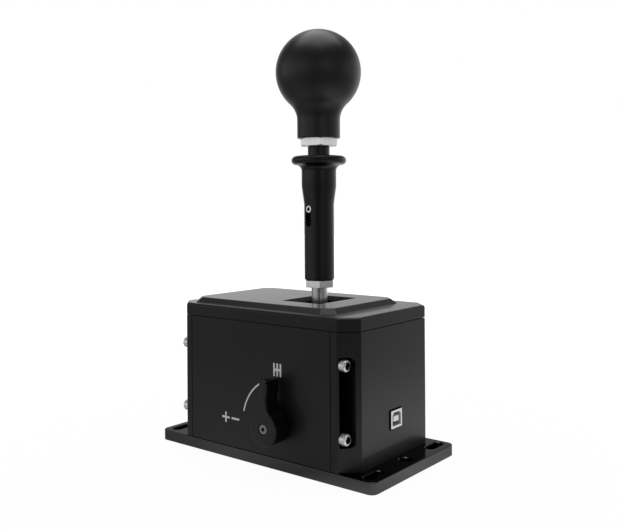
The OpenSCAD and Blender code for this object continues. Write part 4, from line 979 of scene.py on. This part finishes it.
# Matt pale ink with the faint dots of the screen, about 0.4 mm apart.
ink = mottled("pale_grey_screen_ink", ("#b2b2b2", "#bdbdbd"), 0.4, {"Roughness": 0.55, "IOR": 1.45})
marks = gather([printed_arc(), *gate_pictogram(*GATE_MARK), *plus_and_minus(*SHIFT_MARK)])
panel_face = box_mm("front_panel")[0].y
on_face = Matrix.Translation((0, panel_face, 0)) @ Matrix.Rotation(math.pi / 2, 4, "X")
finish_piece("printed_marks", moved(marks, on_face), "housing", [], ink)

# %% [markdown]
# The lever is a bright rod that stands in the gate. A lathe makes a rod, and so does Spin: a few vertices
# drawn as half a section, turned once round the axis. Two nuts sit on it, hexagons whose corners are
# turned down. A hexagon cut by two wide cones gives just that curve on the corners.

# %% Rod and nuts
LATHE_STEPS = 96
ROD_CHAMFER = 0.6
NUT_EDGE = 0.12
LOWER_NUT_FLATS, LOWER_NUT_TURN = 17.4, 8
UPPER_NUT_FLATS, UPPER_NUT_TURN, UPPER_NUT_SHARE = 22.6, 13, 0.18


def lathe(profile_bm, x=0.0, steps=LATHE_STEPS):
    """Spins a profile in X and Z once round the Z axis and moves it along X."""
    bmesh.ops.spin(profile_bm, geom=profile_bm.verts[:] + profile_bm.edges[:], cent=(0, 0, 0),
                   axis=(0, 0, 1), angle=2 * math.pi, steps=steps, use_merge=True)
    bmesh.ops.remove_doubles(profile_bm, verts=profile_bm.verts, dist=SAME_PLACE)
    bmesh.ops.recalc_face_normals(profile_bm, faces=profile_bm.faces)
    return moved(profile_bm, Matrix.Translation((x, 0, 0)))


def section(points):
    """An open half section through points given as radius and height."""
    bm = bmesh.new()
    pen = bm.verts.new((points[0][0], 0, points[0][1]))
    for r, z in points[1:]:
        pen = run(bm, pen, (r, 0, z))
    return bm


def hex_nut(node, across_flats, turn, edge_share=0.08):
    """A nut with turned-down corners, in the box of its node."""
    low, high = box_mm(node)
    height, corner_r = high.z - low.z, across_flats / math.sqrt(3)
    edge = (2 * corner_r - across_flats) * edge_share
    nut = bmesh.new()
    bmesh.ops.create_cone(nut, cap_ends=True, segments=6, radius1=corner_r, radius2=corner_r, depth=height)
    moved(nut, Matrix.Rotation(math.radians(turn + 30), 4, "Z"))
    top, face_r = height / 2, corner_r - 2 * edge
    drum = lathe(section([(0, -top), (face_r, -top), (corner_r, -top + edge), (corner_r, top - edge),
                          (face_r, top), (0, top)]))
    nut = carve(nut, drum, "INTERSECT")
    soften(nut, NUT_EDGE, 2, sharper=40)
    return moved(nut, Matrix.Translation((LEVER_X, 0, (low.z + high.z) / 2)))


rod_low, rod_high = box_mm("lever_rod")
rod_r = (rod_high.x - rod_low.x) / 2
rod = lathe(section([(0, rod_low.z), (rod_r - ROD_CHAMFER, rod_low.z), (rod_r, rod_low.z + ROD_CHAMFER),
                     (rod_r, rod_high.z - ROD_CHAMFER), (rod_r - ROD_CHAMFER, rod_high.z),
                     (0, rod_high.z)]), LEVER_X)
finish_piece("turned_lever_rod", rod, "lever", ["lever_rod"], steel_on_z)
nut = hex_nut("lower_nut", LOWER_NUT_FLATS, LOWER_NUT_TURN)
finish_piece("milled_lower_nut", nut, "lever", ["lower_nut"], bright_steel)
nut = hex_nut("upper_nut", UPPER_NUT_FLATS, UPPER_NUT_TURN, UPPER_NUT_SHARE)
finish_piece("milled_upper_nut", nut, "lever", ["upper_nut"], milky_zinc)

# %% [markdown]
# The lift sleeve is a turned tube: a straight lower part, a slow cone, a collar that flares into a round
# finger flange. Cylinders and cones set on each other would crease at the flare, so its half section is
# drawn with runs and arcs and spun once round. The guide slot is cut through its wall afterwards, and a
# small screw looks out of the slot.

# %% Lift sleeve
SLEEVE_R, COLLAR_R = 9.65, 11.2
SLEEVE_FOOT = 0.6
CONE_LOW, CONE_HIGH = 160.1, 171.6
FLARE_Z, FLARE_R = 181.5, 4.0
RIM_R = 2.8
SLEEVE_BORE_R, ROD_BORE_R = 7.1, 5.3
GUIDE_LEN = 7.0
SLOT_GUIDE_W = 5.4
GUIDE_Z = 156.8
GUIDE_TURN = math.radians(9)
SLOT_LOW = 145.6
GUIDE_HEAD_R, GUIDE_HEAD_H, GUIDE_SHANK_R, GUIDE_SHANK_LEN = 2.4, 1.95, 1.68, 5.3
GUIDE_SOCKET_R, GUIDE_ROUND, GUIDE_OUT = 1.45, 0.3, 7.4

sleeve_low, sleeve_high = box_mm("lift_sleeve")
rim_x = (sleeve_high.x - sleeve_low.x) / 2 - RIM_R
half = bmesh.new()
first = half.verts.new((ROD_BORE_R, 0, sleeve_low.z))
pen = run(half, first, (SLEEVE_R - SLEEVE_FOOT, 0, sleeve_low.z))
pen = run(half, pen, (SLEEVE_R, 0, sleeve_low.z + SLEEVE_FOOT))
pen = run(half, pen, (SLEEVE_R, 0, CONE_LOW))
pen = run(half, pen, (COLLAR_R, 0, CONE_HIGH))
pen = run(half, pen, (COLLAR_R, 0, FLARE_Z))
pen = arc(half, pen, (COLLAR_R + FLARE_R, 0, FLARE_Z), 84, 12, (0, 1, 0))
pen = run(half, pen, (rim_x, 0, sleeve_high.z - 2 * RIM_R))
pen = arc(half, pen, (rim_x, 0, sleeve_high.z - RIM_R), -180, 18, (0, 1, 0))
pen = run(half, pen, (SLEEVE_BORE_R, 0, sleeve_high.z))
pen = run(half, pen, (SLEEVE_BORE_R, 0, sleeve_low.z + GUIDE_LEN))
pen = run(half, pen, (ROD_BORE_R, 0, sleeve_low.z + GUIDE_LEN))
half.edges.new((pen, first))
sleeve = lathe(half)
slot_top = GUIDE_Z + SLOT_GUIDE_W / 2
slot_tool = rounded_block(SLOT_GUIDE_W, slot_top - SLOT_LOW, SLOT_GUIDE_W / 2 - 0.01, 0, 14, 8)
outward = Matrix.Rotation(-GUIDE_TURN, 4, "Z") @ Matrix.Rotation(math.pi / 2, 4, "X")
sleeve = carve(sleeve, moved(slot_tool, Matrix.Translation((0, 0, (slot_top + SLOT_LOW) / 2)) @ outward))
moved(sleeve, Matrix.Translation((LEVER_X, 0, 0)))
finish_piece("turned_lift_sleeve", sleeve, "lift", ["lift_sleeve"], satin,
             sharper=32)

guide = cap_screw(GUIDE_HEAD_R, GUIDE_HEAD_H, GUIDE_SHANK_R, GUIDE_SHANK_LEN, GUIDE_SOCKET_R,
                  GUIDE_ROUND)
at_slot = Matrix.Translation((LEVER_X, 0, GUIDE_Z)) @ outward @ Matrix.Translation((0, 0, GUIDE_OUT))
finish_piece("turned_guide_screw", moved(guide, at_slot), "lever", ["guide_screw"], steel_on_y,
             others=(scale,))

# %% [markdown]
# The knob is moulded in black ABS with a satin skin, which gives the eye a broad soft highlight and a pale
# rim. Its texture is about 0.1 mm, and it is drawn at 0.6 mm. ABS has an IOR near 1.5, but the skin's fine
# texture mirrors less than that, so it is lower here.

# %% Satin moulded plastic
moulding = fine_skin("satin_moulded_black_abs", ("#181819", "#1c1c1c"), 20, 0.6, (0.32, 0.38), {
    "IOR": 1.33}, (0.06, 0.00004))
print("made", moulding.name)

# %% [markdown]
# The knob is a ball on a short neck, joined by a fillet. A sphere and a cylinder would leave a crease, so
# the half section again is runs and arcs, and the arcs touch: the light glides over the joint. The adapter
# under it is a plain black tube that carries the knob on the rod.

# %% Knob and adapter
NECK_R, NECK_FILLET = 13.9, 14.5
NECK_ROUND = 0.8
INSERT_R = 8.02
INSERT_LEN = 22.0
ADAPTER_STEM_R, ADAPTER_EDGE = 6.0, 0.5

knob_low, knob_high = box_mm("shift_knob")
ball_r = (knob_high.x - knob_low.x) / 2
ball_z = knob_high.z - ball_r
fillet_x = NECK_R + NECK_FILLET
fillet_dz = math.sqrt((ball_r + NECK_FILLET) ** 2 - fillet_x ** 2)
fillet_lean = math.degrees(math.atan2(fillet_dz, fillet_x))
half = bmesh.new()
first = half.verts.new((0, 0, knob_low.z + INSERT_LEN))
pen = run(half, first, (INSERT_R, 0, knob_low.z + INSERT_LEN))
pen = run(half, pen, (INSERT_R, 0, knob_low.z))
pen = run(half, pen, (NECK_R - NECK_ROUND, 0, knob_low.z))
pen = arc(half, pen, (NECK_R - NECK_ROUND, 0, knob_low.z + NECK_ROUND), -90, 6, (0, 1, 0))
pen = run(half, pen, (NECK_R, 0, ball_z - fillet_dz))
pen = arc(half, pen, (fillet_x, 0, ball_z - fillet_dz), fillet_lean, 16, (0, 1, 0))
arc(half, pen, (0, 0, ball_z), -(90 + fillet_lean), 56, (0, 1, 0))
knob = lathe(half, LEVER_X, 128)
finish_piece("moulded_shift_knob", knob, "lever", ["shift_knob"], moulding,
             sharper=50)

adapter_low, adapter_high = box_mm("knob_adapter")
adapter_r = (adapter_high.x - adapter_low.x) / 2
nut_z = box_mm("upper_nut")[0].z
adapter = lathe(section([(0, adapter_low.z), (adapter_r, adapter_low.z), (adapter_r, nut_z - ADAPTER_EDGE),
                         (adapter_r - ADAPTER_EDGE, nut_z), (ADAPTER_STEM_R, nut_z),
                         (ADAPTER_STEM_R, adapter_high.z), (0, adapter_high.z)]), LEVER_X)
finish_piece("turned_knob_adapter", adapter, "lever", ["knob_adapter"], satin)

# %% [markdown]
# The pieces inside keep their CAD mesh. They show only through the gate and from below, but each still
# gets the finish of its real material: milled steel, bronze, spring wire, epoxy and circuit board.
# Modelling them again would add nothing to the eye. The grain of each metal is drawn a few times coarser
# than it is.

# %% Finishes inside the housing
def inner_metal(name, dark, light, rough, grain_mm):
    """A machined metal: an even grey or brown shine, broken by a faint grain."""
    material, tree, place = begin_material(name)
    grain = add_node(tree, "ShaderNodeTexNoise", {"Vector": place, "Scale": 1000 / grain_mm, "Detail": 3.0})
    tone = add_node(tree, "ShaderNodeMix", {
        "Factor": grain.outputs["Fac"], 6: linear(dark), 7: linear(light)}, data_type="RGBA")
    gloss = add_node(tree, "ShaderNodeMapRange", {
        "Value": grain.outputs["Fac"], "To Min": rough - 0.08, "To Max": rough + 0.08})
    metal = add_node(tree, "ShaderNodeBsdfPrincipled", {
        "Base Color": tone.outputs[2], "Metallic": 1.0, "Roughness": gloss.outputs["Result"]})
    add_node(tree, "ShaderNodeOutputMaterial", {"Surface": metal.outputs["BSDF"]})
    return material


def solder_mask():
    """Green varnish over copper lanes, which show as paler blocks about 2.5 mm wide."""
    material, tree, place = begin_material("green_solder_mask")
    lanes = add_node(tree, "ShaderNodeTexVoronoi", {"Vector": place, "Scale": 1 / 0.0025},
                     distance="CHEBYCHEV")
    tone = add_node(tree, "ShaderNodeMix", {
        "Factor": lanes.outputs["Distance"], 6: linear("#17402b"), 7: linear("#245c3e")}, data_type="RGBA")
    board = add_node(tree, "ShaderNodeBsdfPrincipled", {
        "Base Color": tone.outputs[2], "Roughness": 0.35, "IOR": 1.5})
    add_node(tree, "ShaderNodeOutputMaterial", {"Surface": board.outputs["BSDF"]})
    return material


def epoxy_moulding():
    """Dull black resin, roughened by its filler. The grains of 0.05 mm are drawn at 0.3 mm."""
    material, tree, place = begin_material("black_epoxy_moulding")
    filler = add_node(tree, "ShaderNodeTexNoise", {"Vector": place, "Scale": 1 / 0.0003})
    rough = add_node(tree, "ShaderNodeMapRange", {
        "Value": filler.outputs["Fac"], "To Min": 0.5, "To Max": 0.7})
    epoxy = add_node(tree, "ShaderNodeBsdfPrincipled", {
        "Base Color": linear("#161617"), "Roughness": rough.outputs["Result"], "IOR": 1.5})
    add_node(tree, "ShaderNodeOutputMaterial", {"Surface": epoxy.outputs["BSDF"]})
    return material


finish_of = {
    "anodised_aluminium": anodised, "satin_black_aluminium": satin, "satin_black_plastic": moulding,
    "stainless_steel": steel_on_z, "nickel_plate": nickel, "pale_nylon": nylon,
    "machined_steel": inner_metal("machined_steel", "#6d6e71", "#85868a", 0.36, 0.8),
    "spring_steel": inner_metal("drawn_spring_wire", "#98999c", "#b4b5b8", 0.3, 0.5),
    "bronze": inner_metal("sintered_bronze", "#8f6d3c", "#b08a50", 0.42, 0.3),
    "circuit_board": solder_mask(), "black_moulding": epoxy_moulding(),
}
for part in frame["record"]["subparts"]:
    solid = frame["nodes"][part["node"]]
    solid.data.materials.clear()
    solid.data.materials.append(finish_of[part["material_slot"]])

# %% [markdown]
# The springs are wound cold from hard-drawn wire. A coil is a small circle that is spun round the axis
# while it climbs. A curve with a round bevel would give the same shape. A spring lies between two bodies,
# and here it stays where it is built, tied to neither.

# %% Springs
COIL_STEPS = 24
WIRE_SIDES = 10
SELECT_WIRE_R, SELECT_TURNS = 0.6, 7
LIFT_WIRE_R, LIFT_TURNS = 0.57, 9


def coil(wire_r, turns, low, high):
    """Round wire wound along Z, filling the box between two corners."""
    middle = (low + high) / 2
    steps = turns * COIL_STEPS
    bm = bmesh.new()
    end = Matrix.Translation((high.x - wire_r, middle.y, low.z + wire_r))
    bmesh.ops.create_circle(bm, segments=WIRE_SIDES, radius=wire_r,
                            matrix=end @ Matrix.Rotation(math.pi / 2, 4, "X"))
    bmesh.ops.spin(bm, geom=list(bm.edges), cent=(middle.x, middle.y, 0), axis=(0, 0, 1), steps=steps,
                   angle=2 * math.pi * turns, dvec=(0, 0, (high.z - low.z - 2 * wire_r) / steps))
    bmesh.ops.holes_fill(bm, edges=[e for e in bm.edges if e.is_boundary])
    bmesh.ops.recalc_face_normals(bm, faces=bm.faces)
    return bm


low, high = box_mm("select_springs")
coil_d = high.x - low.x
coils = [coil(SELECT_WIRE_R, SELECT_TURNS, Vector((low.x, y, low.z)), Vector((high.x, y + coil_d, high.z)))
         for y in (low.y, high.y - coil_d)]
finish_piece("wound_select_springs", gather(coils), "housing", ["select_springs"], finish_of["spring_steel"],
             across=("gimbal", (0, 0, low.z * MM), (0, 0, high.z * MM)))
low, high = box_mm("lift_spring")
finish_piece("wound_lift_spring", coil(LIFT_WIRE_R, LIFT_TURNS, low, high), "lever", ["lift_spring"],
             finish_of["spring_steel"],
             across=("lift", (0, 0, high.z * MM), (0, 0, low.z * MM)))
